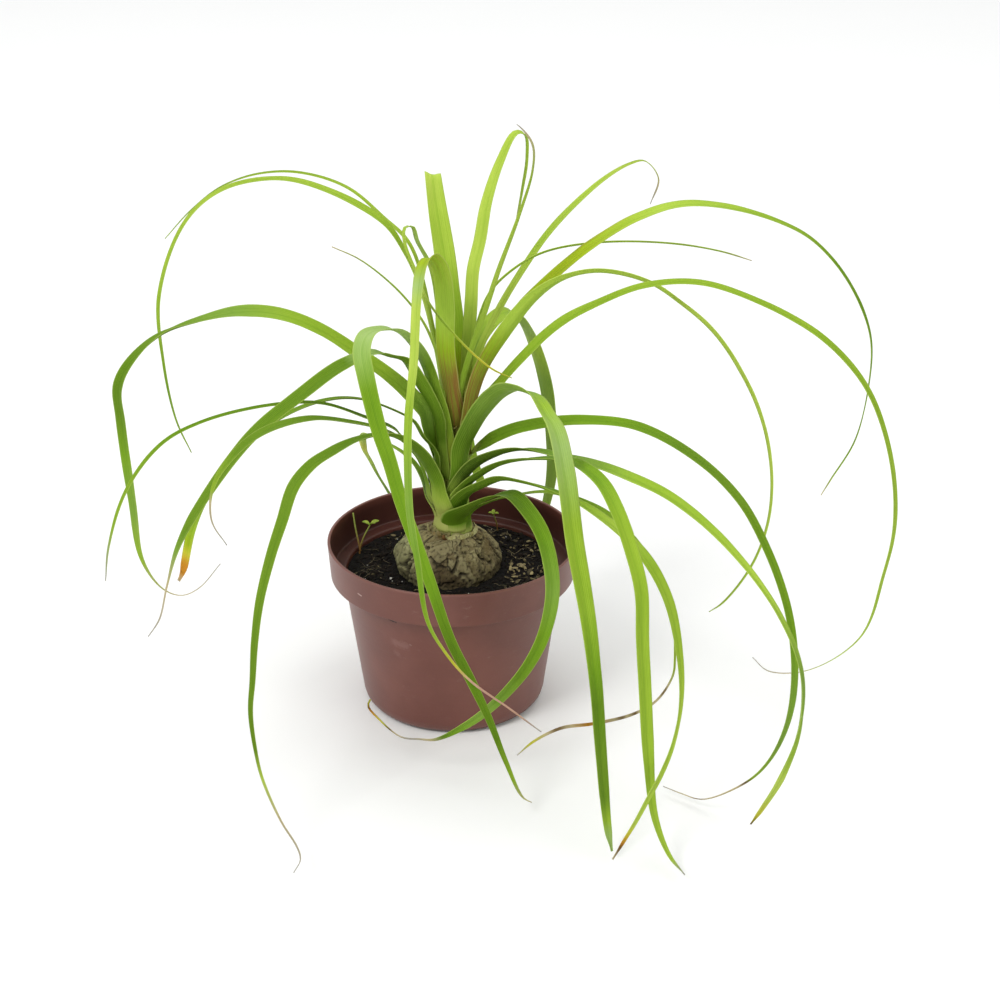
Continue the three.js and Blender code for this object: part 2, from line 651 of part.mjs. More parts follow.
function soilSolid() {
  const inner = FOOT_CURVE - 1;
  const profile = [
    new THREE.Vector2(0, FLOOR + SOIL_SLACK),
    ...arcPoints(BASE_RADIUS - 0.6, FLOOR + inner, inner - SOIL_SLACK, -90, -8, 4),
  ];
  for (let i = SOIL_RINGS; i >= 0; i -= 1) {
    profile.push(new THREE.Vector2((SOIL_RADIUS * i) / SOIL_RINGS, SOIL_EDGE));
  }
  const geometry = turned(profile, SOIL_SIDES);
  const place = geometry.attributes.position;
  for (let i = 0; i < place.count; i += 1) {
    if (place.getZ(i) < SOIL_EDGE - 0.01) continue;
    const x = place.getX(i);
    const y = place.getY(i);
    place.setZ(i, soilTop(Math.hypot(x, y), Math.atan2(y, x)));
  }
  let soil = solidFrom(geometry).subtract(solidFrom(caudexGeometry(GAP)));
  for (const plantlet of [STALK, SPROUT, SMALL_SPROUT]) {
    const [foot, neck] = plantlet.points.map((p) => new THREE.Vector3(...p));
    const below = foot.clone().lerp(neck, -0.06);
    const above = foot.clone().lerp(neck, 1.4);
    soil = soil.subtract(solidFrom(tubeGeometry([below, above], plantlet.radius + GAP, 10)));
  }
  return soil;
}

// Seedlings

function tubeGeometry(points, radius, sides) {
  const rings = points.map((point, i) => {
    const from = points[Math.max(i - 1, 0)];
    const to = points[Math.min(i + 1, points.length - 1)];
    const along = to.clone().sub(from).normalize();
    const side = new THREE.Vector3(0, 1, 0).cross(along).normalize();
    const front = new THREE.Vector3().crossVectors(along, side);
    const ring = [];
    for (let j = 0; j < sides; j += 1) {
      const angle = (2 * Math.PI * j) / sides;
      const spoke = side.clone().multiplyScalar(Math.cos(angle)).addScaledVector(front, Math.sin(angle));
      ring.push(point.clone().addScaledVector(spoke, radius));
    }
    return ring;
  });
  return skinOver(rings);
}

function seedlingSolid(plantlet) {
  const stalk = plantlet.points.map((p) => new THREE.Vector3(...p));
  let seedling = solidFrom(tubeGeometry(stalk, plantlet.radius, 8));
  const crown = stalk.at(-1);
  for (const tip of plantlet.tips ?? []) {
    const end = new THREE.Vector3(...tip);
    const along = end.clone().sub(crown).normalize();
    const across = new THREE.Vector3(-along.y, along.x, 0).normalize();
    const up = new THREE.Vector3().crossVectors(along, across);
    const rings = [0, 0.3, 0.6, 0.85, 1].map((share, i) => {
      const width = plantlet.leafWidth * [0.4, 0.8, 1, 0.8, 0.35][i];
      return bladeSection(crown.clone().lerp(end, share), across, up, width);
    });
    seedling = seedling.add(solidFrom(skinOver(rings)));
  }
  return seedling;
}

// The whole part

const pottedPalm = new THREE.Group();
pottedPalm.name = "potted_ponytail_palm";
const container = new THREE.Group();
container.name = "container";
container.add(namedMesh("pot", geometryFrom(potSolid()), "#6f433b", 0.45));
container.add(namedMesh("soil", geometryFrom(soilSolid()), "#241a14", 0.95));
const palm = new THREE.Group();
palm.name = "palm";
palm.add(namedMesh("caudex", caudexGeometry(0), "#857b62", 0.9));
for (const leaf of leaves) {
  palm.add(namedMesh(leaf.name, leafGeometry(leaf), leaf.colour, 0.5));
}
const seedlings = new THREE.Group();
seedlings.name = "seedlings";
seedlings.add(namedMesh("seedling_stalk", geometryFrom(seedlingSolid(STALK)), "#b9b37a", 0.7));
seedlings.add(namedMesh("seedling_leafy", geometryFrom(seedlingSolid(SPROUT)), "#8fae4a", 0.6));
seedlings.add(namedMesh("seedling_small", geometryFrom(seedlingSolid(SMALL_SPROUT)), "#b7c44e", 0.6));
pottedPalm.add(container, palm, seedlings);

export default pottedPalm;
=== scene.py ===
# A young ponytail palm in a terracotta-brown nursery pot, dressed round its fixed frame.
# Lengths in the dictionaries are millimetres; the scene is in metres.
import itertools
import math
import random

import bpy
import numpy as np
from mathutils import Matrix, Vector, noise


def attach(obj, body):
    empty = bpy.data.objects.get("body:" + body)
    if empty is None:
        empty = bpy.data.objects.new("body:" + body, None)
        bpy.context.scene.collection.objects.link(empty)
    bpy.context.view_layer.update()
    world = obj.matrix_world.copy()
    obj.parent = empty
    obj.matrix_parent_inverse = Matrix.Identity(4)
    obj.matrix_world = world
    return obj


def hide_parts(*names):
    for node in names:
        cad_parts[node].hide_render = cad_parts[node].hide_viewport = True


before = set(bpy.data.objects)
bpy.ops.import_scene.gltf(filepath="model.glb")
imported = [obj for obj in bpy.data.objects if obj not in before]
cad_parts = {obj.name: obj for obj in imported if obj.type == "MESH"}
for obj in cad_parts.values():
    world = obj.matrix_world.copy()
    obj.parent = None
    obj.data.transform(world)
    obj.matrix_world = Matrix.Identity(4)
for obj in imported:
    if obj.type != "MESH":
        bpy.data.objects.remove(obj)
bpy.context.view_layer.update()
mm = 0.001
print("frame loaded")


# small helpers

def clamp(value, low=0.0, high=1.0):
    return max(low, min(high, value))


def smooth(value, low, high):
    share = clamp((value - low) / (high - low))
    return share * share * (3 - 2 * share)


def mix(a, b, share):
    return a + (b - a) * share


def readAlong(values, share):
    if len(values) == 1:
        return values[0]
    place = share * (len(values) - 1)
    i = min(int(place), len(values) - 2)
    return mix(values[i], values[i + 1], place - i)


def linearColour(text):
    channels = [int(text[i:i + 2], 16) / 255 for i in (1, 3, 5)]
    return [c / 12.92 if c <= 0.04045 else ((c + 0.055) / 1.055) ** 2.4 for c in channels]


def readStops(stops, share):
    if share <= stops[0][0]:
        return np.array(stops[0][1], float)
    for (fromShare, fromValue), (toShare, toValue) in zip(stops, stops[1:]):
        if share <= toShare:
            part = (share - fromShare) / max(toShare - fromShare, 1e-6)
            return np.array(fromValue, float) * (1 - part) + np.array(toValue, float) * part
    return np.array(stops[-1][1], float)


def smoothNoise(point, size, seed=0.0):
    return noise.noise(Vector(point) / size + Vector((seed, 1.7 * seed, -seed)))


def newPiece(name, points, faces, flat=False):
    mesh = bpy.data.meshes.new(name)
    mesh.from_pydata([tuple(float(c) * mm for c in p) for p in points], [], faces)
    mesh.validate()
    mesh.update()
    piece = bpy.data.objects.new(name, mesh)
    bpy.context.scene.collection.objects.link(piece)
    mesh.polygons.foreach_set("use_smooth", [not flat] * len(mesh.polygons))
    return piece


def addValues(piece, name, values):
    layer = piece.data.attributes.new(name, "FLOAT", "POINT")
    layer.data.foreach_set("value", np.array(values, np.float32))


def addColours(piece, name, colours):
    layer = piece.data.attributes.new(name, "FLOAT_COLOR", "POINT")
    rgba = np.ones((len(colours), 4), np.float32)
    rgba[:, :3] = colours
    layer.data.foreach_set("color", rgba.ravel())


def spokeAt(angle):
    # a level vector of length one
    return np.array([math.cos(angle), math.sin(angle), 0.0])


def circle(radius, height, sides, middle=(0, 0)):
    centre = np.array([middle[0], middle[1], height])
    return [centre + radius * spokeAt(math.tau * j / sides) for j in range(sides)]


def ringFaces(ringCount, sideCount):
    faces = []
    for i in range(ringCount - 1):
        for j in range(sideCount):
            a, b = i * sideCount + j, i * sideCount + (j + 1) % sideCount
            faces.append((a, b, b + sideCount, a + sideCount))
    return faces


def bladeRing(middle, across, up, sideways, rises, halfThick):
    # one closed section of a thin blade: along its underside and back along its top
    top = [middle + across * x + up * (y + t) for x, y, t in zip(sideways, rises, halfThick)]
    under = [middle + across * x + up * (y - t) for x, y, t in zip(sideways, rises, halfThick)]
    return under + top[::-1]


def closedSkin(rings):
    # rings of equal length, closed at both ends by a fan about a middle point
    sides = len(rings[0])
    points = [p for ring in rings for p in ring]
    faces = ringFaces(len(rings), sides)
    foot, head = len(points), len(points) + 1
    points += [np.mean(rings[0], axis=0), np.mean(rings[-1], axis=0)]
    last = (len(rings) - 1) * sides
    for j in range(sides):
        nextSide = (j + 1) % sides
        faces.append((foot, nextSide, j))
        faces.append((head, last + j, last + nextSide))
    return points, faces


# a chunk is an icosahedron whose twelve corners are each pushed in or out a little
goldenRatio = 1.618
nearCorners = 1.1
chunkSwell = (0.72, 1.2)
icoPoints = []
for turn in range(3):
    for a in (-1, 1):
        for b in (-goldenRatio, goldenRatio):
            corner = (0.0, a, b)
            icoPoints.append(Vector([corner[(k + turn) % 3] for k in range(3)]).normalized())


def icoFaces():
    # every three corners that are all neighbours make a face, turned to face out
    faces = []
    for i, j, k in itertools.combinations(range(len(icoPoints)), 3):
        a, b, c = icoPoints[i], icoPoints[j], icoPoints[k]
        if max((a - b).length, (b - c).length, (a - c).length) < nearCorners:
            outward = (b - a).cross(c - a).dot(a + b + c) > 0
            faces.append((i, j, k) if outward else (i, k, j))
    return faces


chunkFaces = icoFaces()


class Scatter:
    # gathers many small bits into one mesh
    def __init__(self):
        self.points, self.faces, self.shades = [], [], []

    def add(self, points, faces, shade):
        start = len(self.points)
        self.points += points
        self.faces += [tuple(i + start for i in face) for face in faces]
        self.shades += shade if isinstance(shade, list) else [shade] * len(points)

    def chunk(self, place, sizes, turn, shade, draw):
        spin = turn.to_matrix()
        points = []
        for corner in icoPoints:
            swell = draw.uniform(*chunkSwell)
            scaled = Vector((corner.x * sizes[0], corner.y * sizes[1], corner.z * sizes[2])) * swell
            points.append(tuple(Vector(place) + spin @ scaled))
        self.add(points, chunkFaces, shade)

    def thread(self, line, radius, shade, sides=5):
        rings = []
        for i, point in enumerate(line):
            before, after = Vector(line[max(i - 1, 0)]), Vector(line[min(i + 1, len(line) - 1)])
            along = (after - before).normalized()
            side = along.cross(Vector((0.13, 0.21, 1))).normalized()
            front = side.cross(along)
            thin = radius(i / (len(line) - 1)) if callable(radius) else radius
            ring = []
            for j in range(sides):
                angle = -math.tau * j / sides
                spoke = side * math.cos(angle) + front * math.sin(angle)
                ring.append(np.array(Vector(point) + spoke * thin))
            rings.append(ring)
        self.add(*closedSkin(rings), shade)

    def piece(self, name, flat=False):
        made = newPiece(name, self.points, self.faces, flat)
        addValues(made, "shade", self.shades)
        return made


# shader maths, written as plain sums

class Wire:
    def __init__(self, tree, socket=None):
        self.tree = tree
        self.socket = socket

    def node(self, kind, settings=None, values=None, out=0):
        made = self.tree.nodes.new(kind)
        for key, value in (settings or {}).items():
            setattr(made, key, value)
        for key, value in (values or {}).items():
            if isinstance(value, Wire):
                self.tree.links.new(value.socket, made.inputs[key])
            else:
                made.inputs[key].default_value = value
        return Wire(self.tree, made.outputs[out])

    def sum(self, operation, a, b=0.0):
        return self.node("ShaderNodeMath", {"operation": operation}, {0: a, 1: b})

    def __add__(self, other):
        return self.sum("ADD", self, other)

    def __radd__(self, other):
        return self.sum("ADD", other, self)

    def __sub__(self, other):
        return self.sum("SUBTRACT", self, other)

    def __rsub__(self, other):
        return self.sum("SUBTRACT", other, self)

    def __mul__(self, other):
        return self.sum("MULTIPLY", self, other)

    def __rmul__(self, other):
        return self.sum("MULTIPLY", other, self)

    def __pow__(self, other):
        return self.sum("POWER", self, other)

    def __abs__(self):
        return self.sum("ABSOLUTE", self)


def wave(value):
    return value.sum("SINE", value)


def between(value, low, high):
    ends = {"Value": value, "From Min": low, "From Max": high}
    return value.node("ShaderNodeMapRange", {"interpolation_type": "SMOOTHSTEP"}, ends)


def asColour(value):
    # a hex text or a list of linear channels becomes a socket's value; a wire stays a wire
    value = linearColour(value) if isinstance(value, str) else value
    return (*value, 1) if isinstance(value, list) else value


def mixColours(share, a, b, how="MIX"):
    ends = {0: share, 6: asColour(a), 7: asColour(b)}
    return share.node("ShaderNodeMix", {"data_type": "RGBA", "blend_type": how}, ends, 2)


def layered(colour, layers):
    # lays each colour over what is there, by its share
    for share, over in layers:
        colour = mixColours(share, colour, over)
    return colour


def shaded(share, colour, factors):
    # darkens or tints a colour by multiplying it
    return mixColours(share, colour, factors, "MULTIPLY")


def readValue(w, name, out="Fac"):
    return w.node("ShaderNodeAttribute", {"attribute_name": name}, out=out)


def objectPlace(w):
    place = w.node("ShaderNodeTexCoord", out="Object")
    return [w.node("ShaderNodeSeparateXYZ", {}, {0: place}, out=i) for i in range(3)]


def stretched(w, scale):
    place = w.node("ShaderNodeTexCoord", out="Object")
    return w.node("ShaderNodeVectorMath", {"operation": "MULTIPLY"}, {0: place, 1: scale})


def grain(w, scale, detail=4.0, roughness=0.55, place=(1, 1, 1)):
    # noise at a place, or over the object stretched by three factors
    place = place if isinstance(place, Wire) else stretched(w, place)
    ends = {"Vector": place, "Scale": scale, "Detail": detail, "Roughness": roughness}
    return w.node("ShaderNodeTexNoise", {}, ends)


def newMaterial(name):
    material = bpy.data.materials.new(name)
    material.use_nodes = True
    return material, Wire(material.node_tree)


def finishMaterial(material, colour, rough, specular=0.5, relief=None, depth=0.0):
    # a wire is linked to the shader, a number is set on its socket
    sockets = {"Base Color": colour, "Roughness": rough, "Specular IOR Level": specular}
    if relief is not None:
        sockets["Normal"] = relief.node("ShaderNodeBump", {}, {"Height": relief, "Distance": depth,
                                                               "Strength": 1.0})
    shader = material.node_tree.nodes["Principled BSDF"]
    for key, value in sockets.items():
        if isinstance(value, Wire):
            value.tree.links.new(value.socket, shader.inputs[key])
        else:
            shader.inputs[key].default_value = value
    return material


# camera, light and floor

photoView = {
    "aim": (22.8, 0.0, 103.7),
    "distance": 952.3,
    "pitch": 25.2,
    "lens": 72.0,
}


def makeCamera():
    pitch = math.radians(photoView["pitch"])
    forward = Vector((0, math.cos(pitch), -math.sin(pitch)))
    camera = bpy.data.objects.new("camera", bpy.data.cameras.new("camera"))
    camera.location = (Vector(photoView["aim"]) - forward * photoView["distance"]) * mm
    camera.rotation_euler = (math.radians(90) - pitch, 0, 0)
    camera.data.lens = photoView["lens"]
    camera.data.sensor_width = 36
    camera.data.clip_start = 0.01
    bpy.context.scene.collection.objects.link(camera)
    bpy.context.scene.camera = camera


studio = {
    "world": (0.97, 0.98, 1.0),
    "worldStrength": 0.66,
    "lamps": [
        # name, place in metres, size, watts
        ("keyLamp", (-1.5, -1.7, 2.6), 1.1, 52),
        ("fillLamp", (2.2, -1.4, 1.6), 1.6, 9),
        ("topLamp", (0.2, 1.0, 3.0), 2.4, 30),
    ],
    "lampAim": (0.02, 0, 0.1),
    "floor": "#fafaf8", "floorHalf": 6000,
}


def makeStudio():
    world = bpy.data.worlds.new("studio")
    world.use_nodes = True
    background = world.node_tree.nodes["Background"]
    background.inputs["Color"].default_value = (*studio["world"], 1)
    background.inputs["Strength"].default_value = studio["worldStrength"]
    bpy.context.scene.world = world
    for name, place, size, watts in studio["lamps"]:
        lamp = bpy.data.objects.new(name, bpy.data.lights.new(name, "AREA"))
        lamp.data.energy = watts
        lamp.data.size = size
        lamp.location = place
        toAim = Vector(studio["lampAim"]) - Vector(place)
        lamp.rotation_euler = toAim.to_track_quat("-Z", "Y").to_euler()
        bpy.context.scene.collection.objects.link(lamp)
    half = studio["floorHalf"]
    corners = [(-half, -half, 0), (half, -half, 0), (half, half, 0), (-half, half, 0)]
    floor = newPiece("floor", corners, [(0, 1, 2, 3)])
    material, w = newMaterial("paleFloor")
    base = linearColour(studio["floor"])
    colour = mixColours(grain(w, 3.0), base, [c * 0.98 for c in base])
    floor.data.materials.append(finishMaterial(material, colour, 0.9))
    bpy.context.scene.view_settings.view_transform = "Standard"


makeCamera()
makeStudio()
print("camera and studio ready")


# the pot

potPart = {
    "height": 84, "rim": 60, "wall": 1.4, "collar": 17, "collarFoot": 58.8,
    "shoulder": 52.8, "foot": 37.5, "footRound": 6.2, "insideFoot": 5.2, "floor": 2,
    "drains": 6, "drainRadius": 4, "drainCircle": 27, "drainSides": 40,
    "sides": 180,
    # the inside colour is painted shade within the pot
    # the rim's top edge colour is a painted highlight along the lip
    "colour": "#683a30", "paleColour": "#734338", "rimHighlightColour": "#8e6056", "insideShadeColour": "#3d1d17",
    "dustColour": "#a58378",
    "roughness": 0.34, "scuffRagged": 2.4,
    # the line in the wall beyond which a point is outside, past the foot's edge, and how soft it is; within
    # it the pot's shade is painted
    "insideLine": 4.6, "insideSoft": (-0.6, 0.2), "ledgeSoft": (1.2, 1.6), "collarSoft": (0.6, 0.2),
    # marks on the front: from one (side in mm, height) to another, half width, strength and colour
    "scuffs": [
        ((-26.6, 50.4), (-21, 49.8), 2.6, 0.13, "#b08d86"),
        ((-26.2, 44.8), (-25, 43.8), 1.7, 0.08, "#b08d86"),
        ((-19.2, 51.2), (-18.6, 51), 0.6, 0.16, "#c3a8a0"),
        ((-32, 63.4), (-25.5, 62.2), 0.5, 0.85, "#1d0e0a"),
        ((-43, 75), (-41.5, 74.6), 0.45, 0.6, "#c9aca2"),
    ],
}


def roundedProfile(corners):
    # corners are (radius, height, rounding); long runs get a support point beside each rounding
    points = [corners[0][:2]]
    for before, corner, after in zip(corners, corners[1:], corners[2:]):
        here = Vector(corner[:2])
        toBefore = Vector(before[:2]) - here
        toAfter = Vector(after[:2]) - here
        reach = min(corner[2], 0.45 * toBefore.length, 0.45 * toAfter.length)
        start = here + toBefore.normalized() * reach
        end = here + toAfter.normalized() * reach
        if toBefore.length > 4:
            points.append(tuple(start + toBefore.normalized() * 0.6))
        for i in range(5):
            t = i / 4
            bend = start * (1 - t) ** 2 + here * (2 * t * (1 - t)) + end * t ** 2
            points.append(tuple(bend))
        if toAfter.length > 4:
            points.append(tuple(end + toAfter.normalized() * 0.6))
    points.append(corners[-1][:2])
    return points


def potProfile():
    p = potPart
    step = p["height"] - p["collar"]
    ledge = step + p["wall"] + 0.4
    inner = p["rim"] - p["wall"]
    return roundedProfile([
        (0, 0, 0), (p["foot"] + p["footRound"], 0, p["footRound"]),
        (p["shoulder"], step, 0.9), (p["collarFoot"], step, 0.3),
        (p["rim"], p["height"], 0.4), (inner, p["height"], 0.4), (p["collarFoot"] - p["wall"], ledge, 0.8),
        (p["shoulder"] - p["wall"], ledge, 0.8), (p["foot"] + p["insideFoot"], p["floor"], 6.0),
        (0, p["floor"], 0),
    ])


def makePot():
    p = potPart
    # the profile starts and ends on the axis, where the skin closes by itself
    rings = [circle(radius, height, p["sides"]) for radius, height in potProfile()[1:-1]]
    pot = newPiece("plasticPot", *closedSkin(rings))
    drills = Scatter()
    for spot in circle(p["drainCircle"], 0, p["drains"]):
        ends = [circle(p["drainRadius"], height, p["drainSides"], spot) for height in (-3, 3 * p["floor"])]
        drills.add(*closedSkin(ends), 0.0)
    cutter = drills.piece("drainCutter")
    cut = pot.modifiers.new("drains", "BOOLEAN")
    cut.operation = "DIFFERENCE"
    cut.object = cutter
    cut.solver = "EXACT"
    shaped = bpy.data.meshes.new_from_object(pot.evaluated_get(bpy.context.evaluated_depsgraph_get()))
    pot.modifiers.clear()
    pot.data = shaped
    bpy.data.objects.remove(cutter)
    return pot


def potMaterial():
    p = potPart
    material, w = newMaterial("terracottaPlastic")
    x, y, z = objectPlace(w)
    radius = (x * x + y * y) ** 0.5
    step, top, collar = (p["height"] - p["collar"]) * mm, p["height"] * mm, p["collarFoot"] * mm
    # inside is what lies within a slanting line in the wall, or within the collar; there the pot's shade is
    # painted
    slope = (p["shoulder"] - p["foot"] - p["footRound"]) / (p["height"] - p["collar"])
    pastLine = radius - (z * slope + (p["foot"] + p["insideLine"]) * mm)
    inWall = 1 - between(pastLine, *[soft * mm for soft in p["insideSoft"]])
    inCollar = 1 - between(radius, *[collar - soft * mm for soft in p["collarSoft"]])
    inCollar *= between(z, *[step + soft * mm for soft in p["ledgeSoft"]])
    inside = w.sum("MAXIMUM", inWall, inCollar)
    cloud, fine = grain(w, 28.0, 5.0), grain(w, 900.0, 3.0)
    rings = grain(w, 6.0, 2.0, place=(2, 2, 120))
    dust = between(grain(w, 160.0, 6.0, 0.7, (1, 1, 2)), 0.58, 0.8)
    colour = layered(mixColours(between(cloud, 0.35, 0.7), p["colour"], p["paleColour"]), [
        # painted highlight along the rim's top edge
        (between(z, top - 1.2 * mm, top) * 0.35, p["rimHighlightColour"]),
        (dust * 0.22, p["dustColour"]),
        # painted shade inside the pot
        (inside * 0.75, p["insideShadeColour"]),
    ])
    # painted shade on the body just under the collar's overhang
    underCollarShade = between(z, step - 7 * mm, step - 1.5 * mm) * (1 - between(z, step, step + 0.2 * mm))
    colour = shaded(underCollarShade * (1 - inside) * 0.4, colour, [0.6, 0.52, 0.5])
    scuff = w.sum("ADD", 0.0, 0.0)
    ragged = grain(w, 600.0, 5.0, 0.7)
    front = 1 - between(y, -0.035, -0.025)
    for (x0, z0), (x1, z1), half, strength, markColour in p["scuffs"]:
        run = math.hypot(x1 - x0, z1 - z0)
        ux, uz = (x1 - x0) / run, (z1 - z0) / run
        dx, dz = x - x0 * mm, z - z0 * mm
        along = dx * ux + dz * uz
        off = abs(dx * uz - dz * ux) + (ragged - 0.5) * (p["scuffRagged"] * half * mm)
        ends = between(along, -half * mm, 0) * (1 - between(along, run * mm, (run + half) * mm))
        line = (1 - between(off, 0.25 * half * mm, half * mm)) * ends * front
        scuff = scuff.sum("MAXIMUM", scuff, line * strength)
        colour = mixColours(line * strength, colour, markColour)
    rough = p["roughness"] + cloud * 0.1 + dust * 0.2 + scuff * 0.2
    relief = fine * 0.5 + rings * 0.8 - scuff * 0.6
    return finishMaterial(material, colour, rough, 0.45, relief, 0.00006)


pot = makePot()
pot.data.materials.clear()
pot.data.materials.append(potMaterial())
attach(pot, "root")
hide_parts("pot")
print("pot ready")


# the caudex: a corky bulb with a short green-sheathed stem

bulbPart = {
    "centre": (-2, 1, 62), "radius": 27, "rise": 29, "drop": 25,
    "stemFoot": 88, "stemTop": 152, "stemFootRadius": 8, "stemTopRadius": 2.2, "lean": 0.04,
    "sides": 300, "lowRings": 24, "domeRings": 90, "stemRings": 60,
    "domeShare": 0.92, "neckShare": 0.392, "sheathThick": 0.7, "barkEnd": (89, 93), "barkStart": 58,
    "plate": 11, "crackDepth": 1.35, "smallPlate": 4.2, "smallDepth": 0.4, "scale": 1.9,
    "pitDepth": 0.42, "mainDepth": 1.5, "flute": 0.18,
    # noises that bend the plates, and that lift the bark, as (size, strength, seeds)
    "warps": [(8, 4.5, (3, 7, 11)), (2.4, 1.1, (13, 17, 19))],
    "lumps": [(9, 0.8, 21), (3.2, 0.42, 5), (1.2, 0.2, 9)],
    # the bulb narrows a little into the soil, and its left shoulder is fuller
    "waist": 1.6, "waistSpan": (67, 75),
    "leftSwell": 3.0, "leftSpan": (68, 77, 84, 89), "rightSwell": 0.7, "rightSpan": (68, 74, 77, 83),
    # main cracks as (side in degrees, height) from point to point, and pits
    "cracks": [
        [(-137, 90.2), (-132, 88.8), (-134, 86.2), (-130, 84.3)],
        [(-136, 77.4), (-136, 73.9), (-142, 68.3)],
        [(-102, 89.7), (-83, 88.5), (-74, 86.4), (-75, 83), (-79, 79.3), (-85, 76.3)],
        [(-49, 84.2), (-46, 80.9), (-37, 78), (-29, 75.3)],
        [(-75, 74.9), (-68, 74.9), (-64, 71)], [(-113, 82.1), (-103, 79.2), (-93, 78.1)],
        [(-20, 88), (-8, 84), (-12, 78), (-2, 72)], [(20, 87), (34, 82), (28, 76), (38, 70)],
        [(70, 88), (62, 83), (74, 79), (70, 73)], [(112, 87), (120, 80), (108, 75)],
        [(165, 88), (172, 83), (160, 77), (168, 71)], [(-170, 82), (-158, 76)],
    ],
    "pits": [(-121, 85.3), (-30, 75.1), (-64, 82.9), (-105, 80), (-50, 68.6), (15, 80), (95, 82),
             (150, 76)],
    "bark": "#7b6b42", "paleBark": "#b3a676", "darkBark": "#473a23", "crack": "#1a120a",
    "palePatch": "#b4aa86", "darkSpeck": "#2c2216", "paleSpeck": "#cdc39c", "lowBark": "#33281a",
    # the left bark colour is painted light on the bulb's left side
    "leftBark": "#b4b682", "middleBark": "#5a4a34", "palePlate": "#b5ab80", "darkPlate": "#5a4c32",
    "sheath": "#a3ad4a", "sheathDark": "#879236", "sheathPlum": "#8f8a3c", "sheathFoot": "#b4b06a",
}


def stemRadius(height):
    b = bulbPart
    share = clamp((height - b["stemFoot"]) / (b["stemTop"] - b["stemFoot"]))
    return mix(b["stemFootRadius"], b["stemTopRadius"], share)


def stemMiddle(height):
    return np.array([bulbPart["lean"] * (height - bulbPart["stemFoot"]), 0.0, height])


def bulbRings():
    # (centre, radius, how much bark) from the buried foot to the top of the stem
    b = bulbPart
    cx, cy, cz = b["centre"]
    rings = []
    for i in range(b["lowRings"] + 1):
        slope = math.radians(mix(-88, 0, i / b["lowRings"]))
        centre = np.array([cx, cy, cz + b["drop"] * math.sin(slope)])
        rings.append((centre, b["radius"] * math.cos(slope), 1.0))
    top = b["domeShare"] * b["rise"]
    for i in range(1, b["domeRings"] + 1):
        rise = top * math.sin(i / b["domeRings"] * math.pi / 2)
        height = cz + rise
        radius = b["radius"] * math.sqrt(1 - (rise / b["rise"]) ** 2)
        shift = smooth(rise, 0.6 * b["rise"], top)
        centre = np.array([cx, cy, height]) * (1 - shift) + stemMiddle(height) * shift
        rings.append((centre, radius, 1.0))
    for i in range(1, b["stemRings"] + 1):
        height = mix(cz + top, b["stemTop"], (i / b["stemRings"]) ** 1.2)
        neck = 1 - smooth(height, cz + top, cz + top + 4)
        radius = mix(stemRadius(height) + b["sheathThick"], b["radius"] * b["neckShare"], neck)
        rings.append((stemMiddle(height), radius, 1 - smooth(height, *b["barkEnd"])))
    return rings


def onBulb(side, height):
    b = bulbPart
    cx, cy, cz = b["centre"]
    radius = b["radius"] * math.sqrt(max(0, 1 - ((height - cz) / b["rise"]) ** 2))
    return np.array([cx, cy, height]) + radius * spokeAt(math.radians(side))


crackLines = [[onBulb(*place) for place in line] for line in bulbPart["cracks"]]
crackStarts = np.array([start for line in crackLines for start in line[:-1]])
crackRuns = np.array([end for line in crackLines for end in line[1:]]) - crackStarts
pitPlaces = np.array([onBulb(*place) for place in bulbPart["pits"]])


def hump(value, start, full, wane, end):
    return smooth(value, start, full) * (1 - smooth(value, wane, end))


def bulbSwell(angle, height):
    b = bulbPart
    left = max(0, -math.cos(angle)) * hump(height, *b["leftSpan"])
    right = max(0, math.cos(angle)) * hump(height, *b["rightSpan"])
    waist = 1 - smooth(height, *b["waistSpan"])
    return b["leftSwell"] * left + b["rightSwell"] * right - b["waist"] * waist


def mainCrack(point):
    # how deep the point is in one of the main cracks or pits
    place = np.array(point) + [0.8 * smoothNoise(point, 2.6, seed) for seed in (61, 67, 71)]
    share = ((place - crackStarts) * crackRuns).sum(1) / (crackRuns ** 2).sum(1)
    nearest = crackStarts + crackRuns * np.clip(share, 0, 1)[:, None]
    toCrack = np.sqrt(((place - nearest) ** 2).sum(1)).min()
    toPit = np.sqrt(((place - pitPlaces) ** 2).sum(1)).min()
    return max(1 - smooth(toCrack, 0.2, 1.1 + 0.4 * smoothNoise(point, 5, 73)), 1 - smooth(toPit, 0.4, 1.5))


def barkRelief(point):
    # how far the surface moves out, how deep in a crack it is, and which plate it belongs to
    b = bulbPart
    main = mainCrack(point)
    place = Vector((point[0], point[1], point[2] * 0.8))
    warp = Vector((0, 0, 0))
    for size, strength, seeds in b["warps"]:
        warp += Vector([smoothNoise(point, size, seed) for seed in seeds]) * strength
    place += warp
    # each plate is a cell: a crack runs where two cells are about as near, and its centre sets its shade
    gaps, centres = noise.voronoi(place / b["plate"])
    smallGaps, smallCentres = noise.voronoi(place / b["smallPlate"])
    crack = (1 - smooth(gaps[1] - gaps[0], 0.0, 0.085)) * smooth(smoothNoise(point, 14, 31), -0.3, 0.2)
    smallCrack = 1 - smooth(smallGaps[1] - smallGaps[0], 0.0, 0.13)
    smallCrack *= smooth(smoothNoise(point, 6, 23), -0.1, 0.35)
    plate = smoothNoise(centres[0] * b["plate"], 2.3, 51)
    smallPlate = smoothNoise(smallCentres[0] * b["smallPlate"], 1.7, 53)
    pits = smooth(smoothNoise(point, 1.3, 41), 0.2, 0.5)
    lump = sum(smoothNoise(point, size, seed) * strength for size, strength, seed in b["lumps"])
    scale = (0.5 - noise.voronoi(place / b["scale"])[0][0]) * 0.35
    move = lump * 0.8 + scale + plate * 0.7 + smallPlate * 0.45
    move -= crack * b["crackDepth"] + smallCrack * b["smallDepth"]
    move -= pits * b["pitDepth"] + main * b["mainDepth"]
    return move, clamp(crack + 0.6 * smallCrack + 0.75 * pits + main), plate + 0.6 * smallPlate


